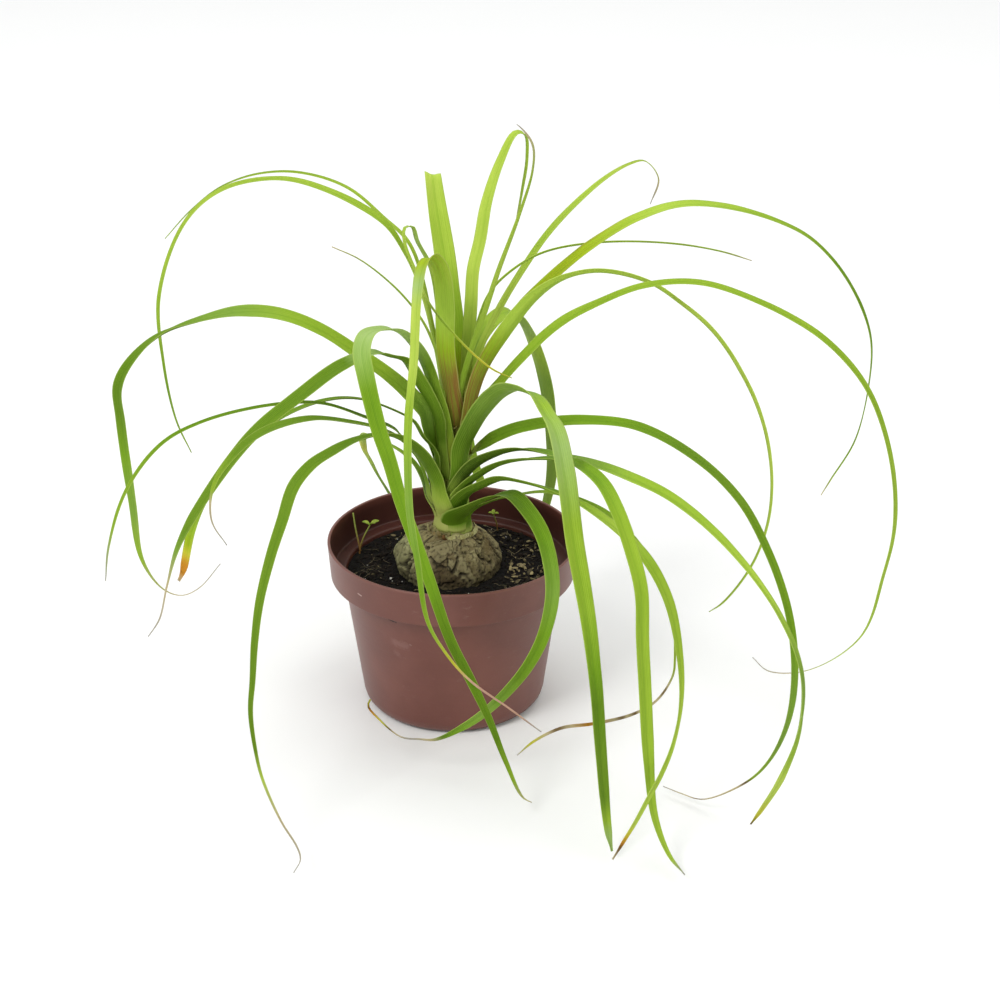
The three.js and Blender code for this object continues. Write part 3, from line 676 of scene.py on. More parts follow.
def makeBulb():
    b = bulbPart
    rings, cracks, barks, plates = [], [], [], []
    for centre, radius, bark in bulbRings():
        ring = []
        for j in range(b["sides"]):
            angle = math.tau * j / b["sides"]
            rough = math.sin(5 * angle + centre[2] / 6) + 0.7 * math.sin(11 * angle - centre[2] / 4)
            spoke = spokeAt(angle)
            r = radius + 0.4 * rough * bark * min(1, radius / 12)
            crack = plate = 0.0
            if bark > 0 and centre[2] > b["barkStart"]:
                move, crack, plate = barkRelief(centre + spoke * r)
                r += move * bark
            r += bulbSwell(angle, centre[2]) * bark * min(1, radius / 12)
            if bark < 1:
                sway = 2 * smoothNoise((angle * 3, 0, centre[2] / 9), 1)
                r += (1 - bark) * b["flute"] * math.sin(26 * angle + sway)
            ring.append(centre + spoke * r)
            cracks.append(crack * bark)
            plates.append(plate)
            barks.append(bark)
        rings.append(ring)
    bulb = newPiece("corkyCaudex", *closedSkin(rings))
    addValues(bulb, "crack", cracks + [0, 0])
    addValues(bulb, "bark", barks + [1, 0])
    addValues(bulb, "plate", plates + [0, 0])
    return bulb


def barkMaterial():
    b = bulbPart
    material, w = newMaterial("fissuredBark")
    crack, bark, plate = [readValue(w, name) for name in ("crack", "bark", "plate")]
    side, _, height = objectPlace(w)
    cloud, patch = grain(w, 90.0, 6.0, 0.6), grain(w, 260.0, 4.0, 0.7)
    fleck, speck = grain(w, 700.0, 5.0, 0.7), grain(w, 1300.0, 3.0, 0.6)
    colour = layered(mixColours(between(cloud, 0.36, 0.66), b["bark"], b["paleBark"]), [
        (between(patch, 0.52, 0.7) * 0.55, b["darkBark"]),
        ((1 - between(patch, 0.3, 0.42)) * 0.45, b["palePatch"]),
        (between(fleck, 0.52, 0.7) * 0.5, b["darkBark"]),
        (between(speck, 0.6, 0.72) * 0.6, b["darkSpeck"]),
        ((1 - between(speck, 0.28, 0.4)) * 0.6, b["paleSpeck"]),
        # painted light: lighter and greener to the left; browner left of the middle
        ((1 - between(side, -0.022, -0.012)) * 0.7, b["leftBark"]),
        (between(side, -0.016, -0.006) * (1 - between(side, 0.002, 0.016)) * 0.6, b["middleBark"]),
        (between(plate, 0.05, 0.35) * 0.4, b["palePlate"]),
        ((1 - between(plate, -0.35, -0.05)) * 0.35, b["darkPlate"]),
        # darker from the soil up to the pot's rim
        ((1 - between(height, 0.066, 0.084)) * 0.62, b["lowBark"]),
        # the cracks and pits are darkened: partly the fissures' own colour, partly painted shade in the
        # recesses
        (crack * 0.85, b["crack"]),
    ])
    fibres = grain(w, 1.0, place=(900, 900, 60))
    sheath = layered(mixColours(between(fibres, 0.35, 0.7), b["sheath"], b["sheathDark"]), [
        (between(height, 0.108, 0.135) * 0.8, b["sheathPlum"]),
        (1 - between(height, 0.089, 0.098), b["sheathFoot"]),
    ])
    relief = fleck * 0.6 + patch * 0.6 + fibres * 0.2
    return finishMaterial(material, mixColours(bark, sheath, colour), 0.78 + fleck * 0.2, 0.3, relief, 0.0005)


bulb = makeBulb()
bulb.data.materials.append(barkMaterial())
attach(bulb, "root")
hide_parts("caudex")
print("caudex ready")


# the soil: dark peat with crumbs, grit and fibres on top

soilPart = {
    "edge": 67, "crown": 69, "lump": 0.7, "radius": 50.7, "slack": 0.4,
    "sides": 360, "rings": 46, "wallRings": 8, "wallTop": 64.5,
    # the floor's edge and round, as (radius past the pot's foot, height over the floor)
    "footSteps": [(0, 0), (3.4, 1.6), (5.2, 5.4)],
    "socket": (65, 60, 54, 48, 42, 39.5, 38),
    "colour": "#0a0705", "lightColour": "#1b130d", "fleckColour": "#5e4c38",
    # nothing loose lies nearer to the bulb's middle than these
    "bulbClear": 26.6, "fibreClear": 27.4,
    "crumbs": 1300, "grit": 44, "splinters": 110, "fibres": 34, "seed": 11,
    # paler chips lie to the right of the bulb, and a loose tuft of fibre to its left
    "palePatch": {"count": 42, "x": (26.5, 44.5), "y": (-13, 26)},
    "tuft": {"count": 16, "x": (-37, 4.2), "y": (-2, 3.6), "steps": 7},
    # material, darkest and lightest colour, roughness, and whether the faces stay flat
    "litter": {
        "peatCrumbs": ("peatCrumb", "#0a0604", "#251b12", 0.85, True),
        "whiteGrit": ("whiteGrit", "#8f8a82", "#e6e2da", 0.7, True),
        "barkChips": ("barkChip", "#1d130b", "#a3936a", 0.8, True),
        "strawFibres": ("strawFibre", "#40382c", "#98896a", 0.7, False),
    },
}


def soilHeight(x, y):
    s = soilPart
    radius, angle = math.hypot(x, y), math.atan2(y, x)
    share = min(radius / s["radius"], 1)
    lump = math.sin(3 * angle + 0.18 * radius) + math.sin(5 * angle - 0.11 * radius)
    return mix(s["crown"], s["edge"], share * share) + s["lump"] * lump * share * (1 - share)


def soilGrain(x, y):
    point = Vector((x, y, 0))
    near = noise.voronoi(point / 3.0 + Vector((0, 0, 3)))[0]
    small = noise.voronoi(point / 1.1 + Vector((0, 0, 8)))[0]
    return (0.55 - near[0]) * 1.4 + (0.5 - small[0]) * 0.6 + smoothNoise(point, 7, 2) * 0.8


def bulbReach(height):
    b = bulbPart
    span = b["rise"] if height >= b["centre"][2] else b["drop"]
    reach = b["radius"] * math.sqrt(max(0, 1 - ((height - b["centre"][2]) / span) ** 2))
    return reach + bulbSwell(math.pi / 2, height) * min(1, reach / 12)


def makeSoil():
    s, middle = soilPart, bulbPart["centre"]
    floor, foot = potPart["floor"] + s["slack"], potPart["foot"]
    low = [(1, 0), (20, 0)] + [(foot + out, rise) for out, rise in s["footSteps"]]
    rings = [circle(radius, floor + rise, s["sides"]) for radius, rise in low]
    lowRadius, lowRise = low[-1]
    for i in range(1, s["wallRings"] + 1):
        share = i / s["wallRings"]
        radius = mix(lowRadius, s["radius"] - 0.1, share)
        rings.append(circle(radius, mix(floor + lowRise, s["wallTop"], share), s["sides"]))
    rim, hole = circle(s["radius"], 0, s["sides"]), circle(bulbReach(69) + 0.3, 0, s["sides"], middle)
    for i in range(s["rings"] + 1):
        share = (i / s["rings"]) ** 0.9
        rough = 0.35 + 0.65 * smooth(share, 0, 0.08)
        places = [mix(out, inner, share) for out, inner in zip(rim, hole)]
        rings.append([np.array([x, y, soilHeight(x, y) + soilGrain(x, y) * rough]) for x, y, _ in places])
    for height in s["socket"]:
        rings.append(circle(bulbReach(height) + 0.4, height - 0.3, s["sides"], middle))
    return newPiece("pottingSoil", *closedSkin(rings))


def soilMaterial():
    s = soilPart
    material, w = newMaterial("peatMix")
    cloud, fine = grain(w, 300.0, 8.0, 0.7), grain(w, 1500.0, 4.0, 0.7)
    colour = mixColours(between(cloud, 0.4, 0.72), s["colour"], s["lightColour"])
    colour = mixColours(between(fine, 0.66, 0.78) * 0.7, colour, s["fleckColour"])
    return finishMaterial(material, colour, 0.82 + fine * 0.15, 0.25, cloud + fine * 0.4, 0.0012)


def groundAt(x, y):
    return soilHeight(x, y) + soilGrain(x, y)


def fromBulb(x, y):
    return math.hypot(x - bulbPart["centre"][0], y - bulbPart["centre"][1])


def soilSpot(draw, margin, sideBias=0.0):
    # a random place on the soil, clear of the bulb and of the wall, and more often on the right
    while True:
        radius = math.sqrt(draw.uniform(0.2, 1)) * (soilPart["radius"] - margin)
        angle = draw.uniform(0, math.tau)
        x, y = radius * math.cos(angle), radius * math.sin(angle)
        if fromBulb(x, y) < soilPart["bulbClear"] + margin:
            continue
        if draw.random() < sideBias and x < 5:
            continue
        return x, y


def litter(material, name, scatter, flat):
    piece = scatter.piece(name, flat)
    piece.data.materials.append(material)
    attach(piece, "root")


def litterMaterial(name, dark, light, roughness):
    material, w = newMaterial(name)
    cloud = grain(w, 500.0, 5.0)
    blend = w.node("ShaderNodeClamp", {}, {0: readValue(w, "shade") * 0.75 + cloud * 0.5 - 0.12})
    colour = mixColours(blend, dark, light)
    return finishMaterial(material, colour, roughness + cloud * 0.1, 0.3, cloud, 0.0003)


def drawSize(draw, low, high, growth, odds):
    # now and then one is larger
    return draw.uniform(low, high) * (growth if draw.random() < odds else 1)


def tumble(draw, tilt=1.0, axis="Z", top="Y"):
    heading = Vector((draw.uniform(-1, 1), draw.uniform(-1, 1), draw.uniform(-tilt, tilt)))
    return heading.to_track_quat(axis, top)


def strand(x, y, steps, heading, stride, edge, lift, turn):
    # a fibre that wanders over the soil until it meets the wall or the bulb
    s = soilPart
    line = []
    for i in range(steps):
        if math.hypot(x, y) > s["radius"] - edge or fromBulb(x, y) < s["fibreClear"]:
            break
        line.append((x, y, groundAt(x, y) + lift(i)))
        heading += turn()
        x, y = x + stride * math.cos(heading), y + stride * math.sin(heading)
    return line


def layCrumbs(draw, crumbs):
    for _ in range(soilPart["crumbs"]):
        x, y = soilSpot(draw, 1.2)
        size = drawSize(draw, 0.45, 1.0, 1.6, 0.14)
        sizes = (size, size * draw.uniform(0.6, 1), size * draw.uniform(0.5, 0.9))
        crumbs.chunk((x, y, groundAt(x, y) + size * 0.25), sizes, tumble(draw), draw.random(), draw)


def layGrit(draw, grit):
    for _ in range(soilPart["grit"]):
        x, y = soilSpot(draw, 1.0)
        size = drawSize(draw, 0.2, 0.42, 2.1, 0.2)
        sizes = (size, size * draw.uniform(0.7, 1), size * 0.8)
        grit.chunk((x, y, groundAt(x, y) + size * 0.5), sizes, tumble(draw), draw.random(), draw)


def laySplinters(draw, chips):
    for _ in range(soilPart["splinters"]):
        x, y = soilSpot(draw, 2.2, 0.5)
        long = drawSize(draw, 0.7, 1.5, 1.9, 0.2)
        lean = tumble(draw, 0.25, "X", "Z")
        sizes = (long, long * draw.uniform(0.25, 0.7), draw.uniform(0.2, 0.5))
        chips.chunk((x, y, groundAt(x, y) + 0.4), sizes, lean, draw.random() ** 2, draw)


def layFibres(draw, straws):
    for _ in range(soilPart["fibres"]):
        x, y = soilSpot(draw, 3.5, 0.6)
        heading, bend = draw.uniform(0, math.tau), draw.uniform(-0.35, 0.35)
        line = strand(x, y, draw.randint(4, 9), heading, 1.3, 1.2, lambda i: 0.25 + draw.uniform(0.1, 0.5),
                      lambda: bend + draw.uniform(-0.3, 0.3))
        if len(line) > 3:
            straws.thread(line, draw.uniform(0.08, 0.14), draw.random())


def layPalePatch(draw, chips):
    patch = soilPart["palePatch"]
    for _ in range(patch["count"]):
        x, y = draw.uniform(*patch["x"]), draw.uniform(*patch["y"])
        if math.hypot(x, y) > soilPart["radius"] - 4:
            continue
        long = drawSize(draw, 0.6, 1.5, 1.7, 0.3)
        lean = tumble(draw, 0.5, "X", "Z")
        sizes = (long, long * draw.uniform(0.2, 0.6), draw.uniform(0.25, 0.7))
        chips.chunk((x, y, groundAt(x, y) + 0.7), sizes, lean, draw.uniform(0.2, 1.25), draw)


def layTuft(draw, straws):
    tuft = soilPart["tuft"]
    last = tuft["steps"] - 1
    for _ in range(tuft["count"]):
        x, y = draw.gauss(*tuft["x"]), draw.gauss(*tuft["y"])
        line = strand(x, y, tuft["steps"], draw.uniform(0, math.tau), 1.2, 1,
                      lambda i: 0.3 + 0.6 * math.sin(math.pi * i / last) * draw.random(),
                      lambda: draw.uniform(-0.7, 0.7))
        if len(line) > 3:
            straws.thread(line, 0.11, draw.uniform(0, 0.5))


def makeSoilLitter():
    # the order of these calls keeps the random draws as they are
    draw = random.Random(soilPart["seed"])
    crumbs, grit, chips, straws = Scatter(), Scatter(), Scatter(), Scatter()
    layCrumbs(draw, crumbs)
    layGrit(draw, grit)
    laySplinters(draw, chips)
    layFibres(draw, straws)
    layPalePatch(draw, chips)
    layTuft(draw, straws)
    for scatter, (name, (*look, flat)) in zip((crumbs, grit, chips, straws), soilPart["litter"].items()):
        litter(litterMaterial(*look), name, scatter, flat)


soil = makeSoil()
soil.data.materials.append(soilMaterial())
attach(soil, "root")
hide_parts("soil")
makeSoilLitter()
print("soil ready")


# the leaves: long channelled blades that arch out of the crown

leafLook = {
    "step": 2.0, "across": 15, "keel": 0.16, "soft": 0.22, "tipRun": 9, "tipWidth": 0.35,
    "thick": 0.46, "edgeThick": 0.2, "baseThick": 0.9, "thickRun": 30,
    "clear": 1.0, "sheath": 3, "flare": 0.3,
    # how a foot wraps the stem, and how it runs on into it; the lowest feet flare
    "hug": 5.5, "mostTurn": 1.25, "wrap": (5, 26), "spreadRun": 22, "wrapSpread": 0.7, "footSpread": 0.4,
    "lead": 5, "lowest": (97, 104),
    # the run of a foot inside the stem: how far each step goes down and in, or out for a lowest foot
    "tuckDown": 1.2, "tuckIn": 0.2, "tuckOut": 0.22,
    "edgeWave": 0.22, "waveRun": 14, "waveStart": (20, 50), "ripple": 0.05, "leastWidth": 0.8,
    "underside": "#8fb03c", "undersideShare": 0.28,
    "vein": "#c3d760", "edge": "#c3d66a", "rust": "#945f33", "rustyEdge": "#c2b56c", "freckle": "#6a4a22",
    # factors that darken a blade in clouds, beside its midrib and in stripes
    "cloudShade": [0.72, 0.84, 0.5], "midribShade": [0.66, 0.78, 0.5], "stripeShade": [0.7, 0.8, 0.45],
}

# the dull dark green #668a19 is painted shade for the blades' shaded falls and sides
# the pale bluish green #a3bf72 is a painted sheen for the tops of the arches
tintColours = {
    "cream": "#cdc97c", "lime": "#bdd258", "acid": "#a4bf0e", "young": "#b2cd4a", "bright": "#98b832",
    "green": "#729b16", "deep": "#5a800a", "dark": "#3c5a05", "wax": "#a3bf72", "leafy": "#80a340",
    "olive": "#668a19", "plum": "#9c8f36", "yellow": "#d6ca3c", "orange": "#c98a28", "straw": "#cfc094",
    "brown": "#6b4d22", "grey": "#b2ada2", "pink": "#cfa68c",
}

# each leaf's foot on the stem, its widths and rolls along its length, its midrib's course and its colours,
# which hold painted light too: the darkest stops near the feet paint the crown's shade
leafTable = [
    {"node": "leaf_low_hoop", "side": -82, "height": 94,
     "widths": [7, 8, 8.5, 8.4, 7.8, 7, 6.2, 5.7, 5.1, 4.3, 1.8, 1.2, 3.6],
     "rolls": [0, 46, 38, 34, 31, 28, 10],
     "course": [(5, -12, 102), (13, -16, 110), (23, -20, 116), (28, -25, 118), (33, -33, 117),
                (41, -46, 110), (45, -58, 101), (46, -71, 90), (42, -81, 75), (34, -85, 60), (20, -85, 42),
                (7, -82, 29), (-7, -78, 19), (-14, -76, 18), (-23, -74, 18), (-33, -70, 25), (-38, -68, 31),
                (-37, -66, 33)],
     "tints": "0 olive, .03 deep, .21 deep, .3 green, .42 leafy, .5 green, .6 olive, .7 leafy, "
              ".79 green, .81 deep, .84 straw, .88 grey, .91 straw, .925 brown, .945 yellow, .97 orange, "
              ".985 brown, 1 yellow"},
    {"node": "leaf_back_left", "side": 165, "height": 95,
     "widths": [6, 7, 5, 3, 4, 6, 5.8, 5, 3.5],
     "rolls": [0, 5, 10, 45, 55, 45],
     "course": [(-12, 4, 104), (-14, 5, 112), (-18, 8, 119), (-23, 11, 123), (-30, 15, 126), (-36, 18, 128),
                (-41, 23, 128), (-44, 33, 122), (-45, 43, 114), (-45, 51, 107), (-43, 58, 99),
                (-40, 64, 89), (-35, 70, 76), (-30, 75, 62)],
     "tints": "0 cream, .1 green, .34 bright, .4 young, .46 bright, .5 lime, .58 yellow, .66 lime, "
              ".8 green, 1 deep"},
    {"node": "leaf_right_dry_tail", "side": -36, "height": 95,
     "widths": [5, 4.5, 3.2, 2.8, 2.8, 2.4, 1.6, 1, 1.4, 1.6, 1],
     "rolls": [0, 20, 20, 10, 0],
     "course": [(10.5, -5, 101), (20, -9, 108), (31, -14, 113), (41, -26, 120), (50, -39, 125),
                (59, -52, 128), (70, -63, 127), (80, -75, 122), (90, -82, 110), (98, -92, 93),
                (99, -102, 75), (98, -106, 69), (91, -113, 61), (80, -120, 58), (63, -126, 57),
                (49, -128, 56), (37, -131, 51), (30, -134, 46)],
     "tints": "0 olive, .08 deep, .16 bright, .22 bright, .3 green, .55 young, .68 lime, .71 straw, "
              ".722 brown, .735 straw, .78 straw, .787 brown, .8 straw, .812 brown, .825 straw, "
              ".87 orange, .9 straw, .92 brown, .94 straw, .97 yellow, 1 grey"},
    {"node": "leaf_front_left", "side": 238, "height": 97,
     "widths": [6.5, 8.5, 9, 7.4, 6.6, 5.8, 4.8, 3.7, 2.6, 1.5, 1, 1],
     "rolls": [0, 5, 4, -26, -24, -22, -30, 0],
     "course": [(-5, -10, 104), (-6, -12, 113), (-7, -14, 120), (-10, -17, 129), (-14, -22, 138),
                (-21, -30, 148), (-27, -38, 154), (-34, -46, 157), (-43, -56, 158), (-51, -65, 157),
                (-59, -72, 154), (-66, -78, 147), (-71, -86, 134), (-76, -95, 120), (-80, -106, 105),
                (-82, -114, 90), (-83, -120, 75), (-84, -125, 62), (-82, -131, 46), (-79, -136, 35),
                (-71, -145, 20), (-64, -151, 11), (-62, -157, 9), (-64, -167, 9)],
     "tints": "0 cream, .04 lime, .08 green, .11 deep, .3 deep, .45 olive, .8 olive, .84 lime, .9 straw, "
              "1 grey"},
    {"node": "leaf_front_right_low", "side": -76, "height": 97,
     "widths": [6, 7, 7, 7, 6.8, 6.4, 6, 5.2, 3.4, 2, 2.8, 2.8, 2.2],
     "rolls": [0, 0, 5, 25, 38, 38, 30, 20, 10],
     "course": [(3, -11, 106), (6, -14, 113), (14, -19, 120), (23, -27, 127), (32, -36, 130),
                (48, -52, 132), (64, -66, 129), (84, -86, 119), (95, -98, 103), (101, -106, 76),
                (101, -116, 60), (97, -130, 49), (91, -142, 41), (86, -152, 38), (80, -158, 29),
                (75, -162, 22), (70, -166, 15)],
     "tints": "0 green, .04 deep, .21 deep, .27 green, .33 bright, .4 young, .5 bright, .75 young, "
              ".88 young, .94 lime, .955 yellow, .97 orange, .98 brown, 1 straw"},
    {"node": "leaf_left_wiry", "side": 200, "height": 99,
     "widths": [5, 5, 4, 3, 2.4, 2.2, 2.6, 2.4, 1],
     "rolls": [0],
     "course": [(-11, -4, 107), (-12, -6, 117), (-15.5, -8.5, 129), (-21, -9, 137), (-25, -12, 145),
                (-38, -21, 155), (-58, -35, 168), (-83, -49, 172), (-108, -60, 169), (-124, -67, 162),
                (-139, -74, 144), (-148, -80, 119), (-150, -84, 104)],
     "tints": "0 cream, .08 green, .2 deep, .7 green, .9 bright, 1 grey"},
    {"node": "leaf_front_right", "side": -68, "height": 101,
     "widths": [6, 6.6, 7, 7, 7, 6.8, 6.6, 6.4, 6.2, 3.8, 1.2],
     "rolls": [0, 4, 16, 16, 14, 8],
     "course": [(3, -11, 110), (7, -14, 118), (14, -19, 126), (23, -30, 136), (40, -62, 153),
                (55, -87, 162), (65, -102, 160), (71, -114, 153), (77, -122, 138), (81, -129, 123),
                (82, -132, 101), (84, -134, 74), (86, -138, 46), (89, -143, 21), (95, -153, 8),
                (101, -163, 5)],
     "tints": "0 lime, .06 deep, .32 deep, .42 green, .5 bright, .7 bright, .78 bright, .85 bright, "
              ".88 bright, .97 young, 1 grey"},
    {"node": "leaf_left_low", "side": 224, "height": 103,
     "widths": [6, 6.5, 6, 5, 5, 5.6, 4.2, 1.4, 1],
     "rolls": [0, 0, -5, -10, -10, 0],
     "course": [(-8, -6, 112), (-10, -9, 122), (-13, -13.5, 132), (-17, -17.5, 139), (-28, -27, 151),
                (-44, -40, 161), (-60, -53, 168), (-77, -67, 169), (-89, -77, 164), (-98, -85, 154),
                (-101, -87, 145), (-101, -87, 134), (-96, -83, 121)],
     "tints": "0 cream, .08 olive, .12 dark, .2 deep, .4 olive, .75 olive, .85 bright, .875 straw, 1 grey"},
    {"node": "leaf_right_low", "side": -84, "height": 105,
     "widths": [6, 7.5, 7.6, 7.4, 7.4, 6.6, 5.4, 4.2, 3.6, 4, 3.8, 2.2],
     "rolls": [0, 8, 26, 40, 42, 36, 28, 22, 16, 58, 62],
     "course": [(2, -11.5, 114), (5, -14, 122), (9, -16, 128), (15, -20, 134), (32, -36, 146),
                (51, -56, 151), (74, -82, 155), (98, -109, 153), (120, -135, 141), (136, -153, 123),
                (144, -162, 104), (145, -164, 80), (140, -158, 51), (134, -150, 30), (130, -146, 19)],
     "tints": "0 lime, .06 dark, .18 deep, .3 leafy, .4 bright, .5 bright, .62 young, .75 leafy, "
              ".86 bright, .9 lime, .94 lime, .98 yellow, 1 brown"},
    {"node": "leaf_left_orange_tip", "side": 214, "height": 108,
     "widths": [5, 5, 4.5, 5, 6, 6, 6, 5.5, 4.5],
     "rolls": [0, 0, 0, 0, 0, -5, -15, -30, -40],
     "course": [(-7, -7, 122), (-7, -9, 131), (-9, -10, 136), (-13, -12, 142), (-17, -13, 150),
                (-23, -15, 155), (-41, -20, 164), (-58, -28, 166), (-77, -38, 161), (-95, -48, 149),
                (-108, -54, 131), (-115, -57, 116), (-120, -60, 96), (-122, -61, 92)],
     "tints": "0 lime, .1 deep, .2 green, .4 olive, .65 green, .7 leafy, .8 olive, .87 bright, .91 acid, "
              ".935 yellow, .955 orange, .98 orange, 1 straw"},
    {"node": "leaf_front_arch", "side": -72, "height": 108,
     "widths": [7, 9, 10, 10, 10, 10, 10, 9.2, 8, 6.7, 6.2, 5.5, 3.2],
     "rolls": [0, -4, -15, -16, 0, 5, 5, 3, 0],
     "course": [(4, -10.5, 120), (4.6, -12, 135), (10, -15, 149), (17, -25, 164), (24, -42, 177),
                (31, -60, 185), (38, -74, 187), (42, -84, 184), (46, -93, 180), (50, -102, 163),
                (54, -110, 135), (59, -119, 109), (63, -128, 80), (66, -136, 45), (69, -142, 15),
                (71, -146, 5)],
     "tints": "0 lime, .04 green, .1 deep, .18 leafy, .34 leafy, .39 bright, .46 wax, .56 bright, "
              ".68 bright, .75 green, .8 deep, .87 olive, .93 olive, .96 bright, .98 wax, 1 wax"},
    {"node": "leaf_right_arch", "side": -46.5, "height": 111,
     "widths": [6, 6.5, 6.2, 5.4, 4.6, 4, 3.8, 3.6, 3.2, 1.8, 1.2, 1],
     "rolls": [0, 80, 58, 46, 38, 35, 38, 45, 50, 50, 30],
     "course": [(6.5, -4.5, 124), (10.5, -4, 131), (15, -10, 137), (21, -17, 144), (33, -27, 153),
                (58, -50, 166), (83, -72, 172), (107, -94, 166), (123, -108, 154), (134, -118, 136),
                (143, -126, 112), (147, -130, 83), (145, -128, 55), (137, -123, 32), (125, -114, 15),
                (113, -106, 5), (105, -100, 4), (97, -94, 4)],
     "tints": "0 cream, .08 olive, .3 green, .4 deep, .48 olive, .65 green, .8 leafy, .86 bright, "
              ".875 brown, .89 straw, .94 straw, .95 brown, .965 straw, 1 grey"},
    {"node": "leaf_left_bent", "side": 190, "height": 113,
     "widths": [6, 8, 8.5, 7.8, 7, 6.4, 6, 6, 4.6, 1.4, 1],
     "rolls": [0, -60, -26, -20, -20, 29, -25, -28, -25, -25, 0],
     "course": [(-8.5, -2, 131), (-10.5, -4, 142), (-12, -6, 152), (-15, -8, 157), (-24, -11, 168),
                (-41, -14, 183), (-58, -19, 197), (-75, -24, 206), (-92, -29, 209), (-109, -34, 207),
                (-126, -39, 202), (-139, -43, 191), (-145, -45, 180), (-145, -45, 164), (-143, -45, 125),
                (-141, -44, 94), (-133, -42, 78), (-125, -39, 73), (-117, -37, 76), (-107, -34, 87)],
     "tints": "0 lime, .05 green, .1 leafy, .2 bright, .34 bright, .42 leafy, .5 olive, .58 deep, "
              ".64 deep, .7 green, .78 leafy, .85 bright, .92 straw, 1 grey"},
    {"node": "leaf_left_wide", "side": 218, "height": 118,
     "widths": [5, 7, 8, 8.5, 8.5, 8, 7, 6, 1.6, 1],
     "rolls": [0, 28, -16, -15, -8, 0],
     "course": [(-5, -6, 140), (-6, -9, 151), (-14, -13, 170), (-20, -16, 181), (-27, -20, 185),
                (-33, -24, 188), (-48, -34, 185), (-65, -46, 176), (-86, -60, 162), (-109, -75, 134),
                (-118, -81, 118), (-123, -85, 102), (-127, -88, 87), (-132, -91, 80)],
     "tints": "0 lime, .08 deep, .24 green, .3 deep, .35 wax, .39 deep, .44 deep, .7 olive, .8 olive, "
              ".84 leafy, .9 straw, 1 grey"},
    {"node": "leaf_far_right", "side": 5, "height": 122,
     "widths": [5.5, 7, 7, 4.6, 3.8, 4, 4, 3.6, 3.4, 3.2, 2.8, 1, 1],
     "rolls": [0, 12, 16, 6, 0, 8, 15, 18, 18, 10, 0],
     "course": [(10, -1, 140), (16, -2, 156), (23, -3, 165), (33, -5, 178), (50, -8, 196), (68, -13, 208),
                (87, -20, 218), (111, -25, 221), (138, -29, 213), (165, -32, 198), (186, -33, 175),
                (199, -35, 143), (204, -35, 108), (201, -35, 82), (193, -34, 48), (171, -30, 28),
                (152, -26, 25), (144, -25, 32)],
     "tints": "0 plum, .05 plum, .09 bright, .3 bright, .6 bright, .84 young, .9 lime, .95 straw, 1 grey"},
    {"node": "leaf_front_loop", "side": 240, "height": 124,
     "widths": [5, 6.5, 7.5, 8.5, 8, 7, 6, 5.6, 4.8, 4.3, 2.6, 1],
     "rolls": [0],
     "course": [(-2, -6, 142), (-4, -7, 153), (-7, -8, 163), (-10, -11, 175), (-14, -18, 187),
                (-22, -34, 202), (-27, -42, 206), (-34, -54, 208), (-36, -64, 204), (-34, -74, 197),
                (-29, -80, 176), (-24, -83, 160), (-20, -86, 145), (-14, -89, 127), (-8, -93, 110),
                (1, -100, 84), (10, -103, 65), (18, -106, 47), (25, -109, 28), (33, -112, 10),
                (37, -113, 8)],
     "tints": "0 plum, .05 bright, .1 bright, .16 green, .24 wax, .34 wax, .42 green, .6 green, "
              ".68 green, .76 deep, .9 deep, .96 bright, 1 straw"},
    {"node": "leaf_back_right", "side": 90, "height": 126,
     "widths": [5, 7, 8, 8.5, 8.5, 8, 7, 6, 4],
     "rolls": [0, -10, -25, -40, -40, -40],
     "course": [(5, 9, 150), (9, 16, 165), (13, 25, 176), (23, 37, 184), (29, 45, 182), (35, 52, 172),
                (41, 62, 154), (46, 69, 132), (49, 75, 101), (49, 81, 77), (45, 88, 51)],
     "tints": "0 deep, .2 leafy, .3 young, .36 bright, .44 wax, .5 young, .6 leafy, .8 leafy, 1 leafy"},
    {"node": "leaf_right_drooping", "side": -48, "height": 128,
     "widths": [5, 7, 7, 6, 5, 4.8, 4.4, 3.4, 2.4, 1.6, 1],
     "rolls": [0, -22, -42, 5, 12, 8, 8, 10, 8, 0],
     "course": [(8, -6, 150), (13, -6, 170), (23, -7, 189), (38, -9, 209), (51, -10, 218), (67, -9, 221),
                (89, -9, 216), (103, -13, 208), (120, -19, 194), (137, -24, 167), (145, -28, 143),
                (147, -32, 119), (144, -35, 100), (137, -38, 84), (126, -41, 70), (120, -42, 66)],
     "tints": "0 plum, .12 plum, .17 acid, .22 young, .3 young, .5 lime, .8 lime, .92 young, 1 lime"},
    {"node": "leaf_left_spur", "side": 214, "height": 131,
     "widths": [3.5, 3.5, 3, 2.6, 2.2, 1.4],
     "rolls": [0],
     "course": [(-3.5, -4.2, 156), (-5, -6, 175), (-8, -8, 187), (-13, -10, 199), (-24, -14, 215),
                (-39, -17, 229), (-51, -20, 236)],
     "tints": "0 lime, .3 young, .6 lime, .8 bright, 1 straw"},
    {"node": "leaf_high_right", "side": 0, "height": 133,
     "widths": [4, 7, 8, 7.5, 6.5, 5.2, 3.5, 2.5, 2.2, 2, 1],
     "rolls": [0, 30, 24, 20, 18, 45, 30, 0],
     "course": [(10, 1, 156), (13, 2, 167), (19, 5, 178), (26, 7, 189), (34, 8, 199), (52, 9, 217),
                (70, 10, 231), (86, 11, 240), (104, 13, 245), (124, 14, 244), (150, 16, 236),
                (167, 18, 226), (185, 20, 205), (197, 22, 178), (198, 22, 152), (194, 24, 124),
                (184, 25, 103), (180, 26, 94)],
     "tints": "0 plum, .14 plum, .19 acid, .3 acid, .4 young, .55 bright, .65 green, .9 green, "
              ".96 bright, 1 straw"},
    {"node": "leaf_high_left_thin", "side": 160, "height": 136,
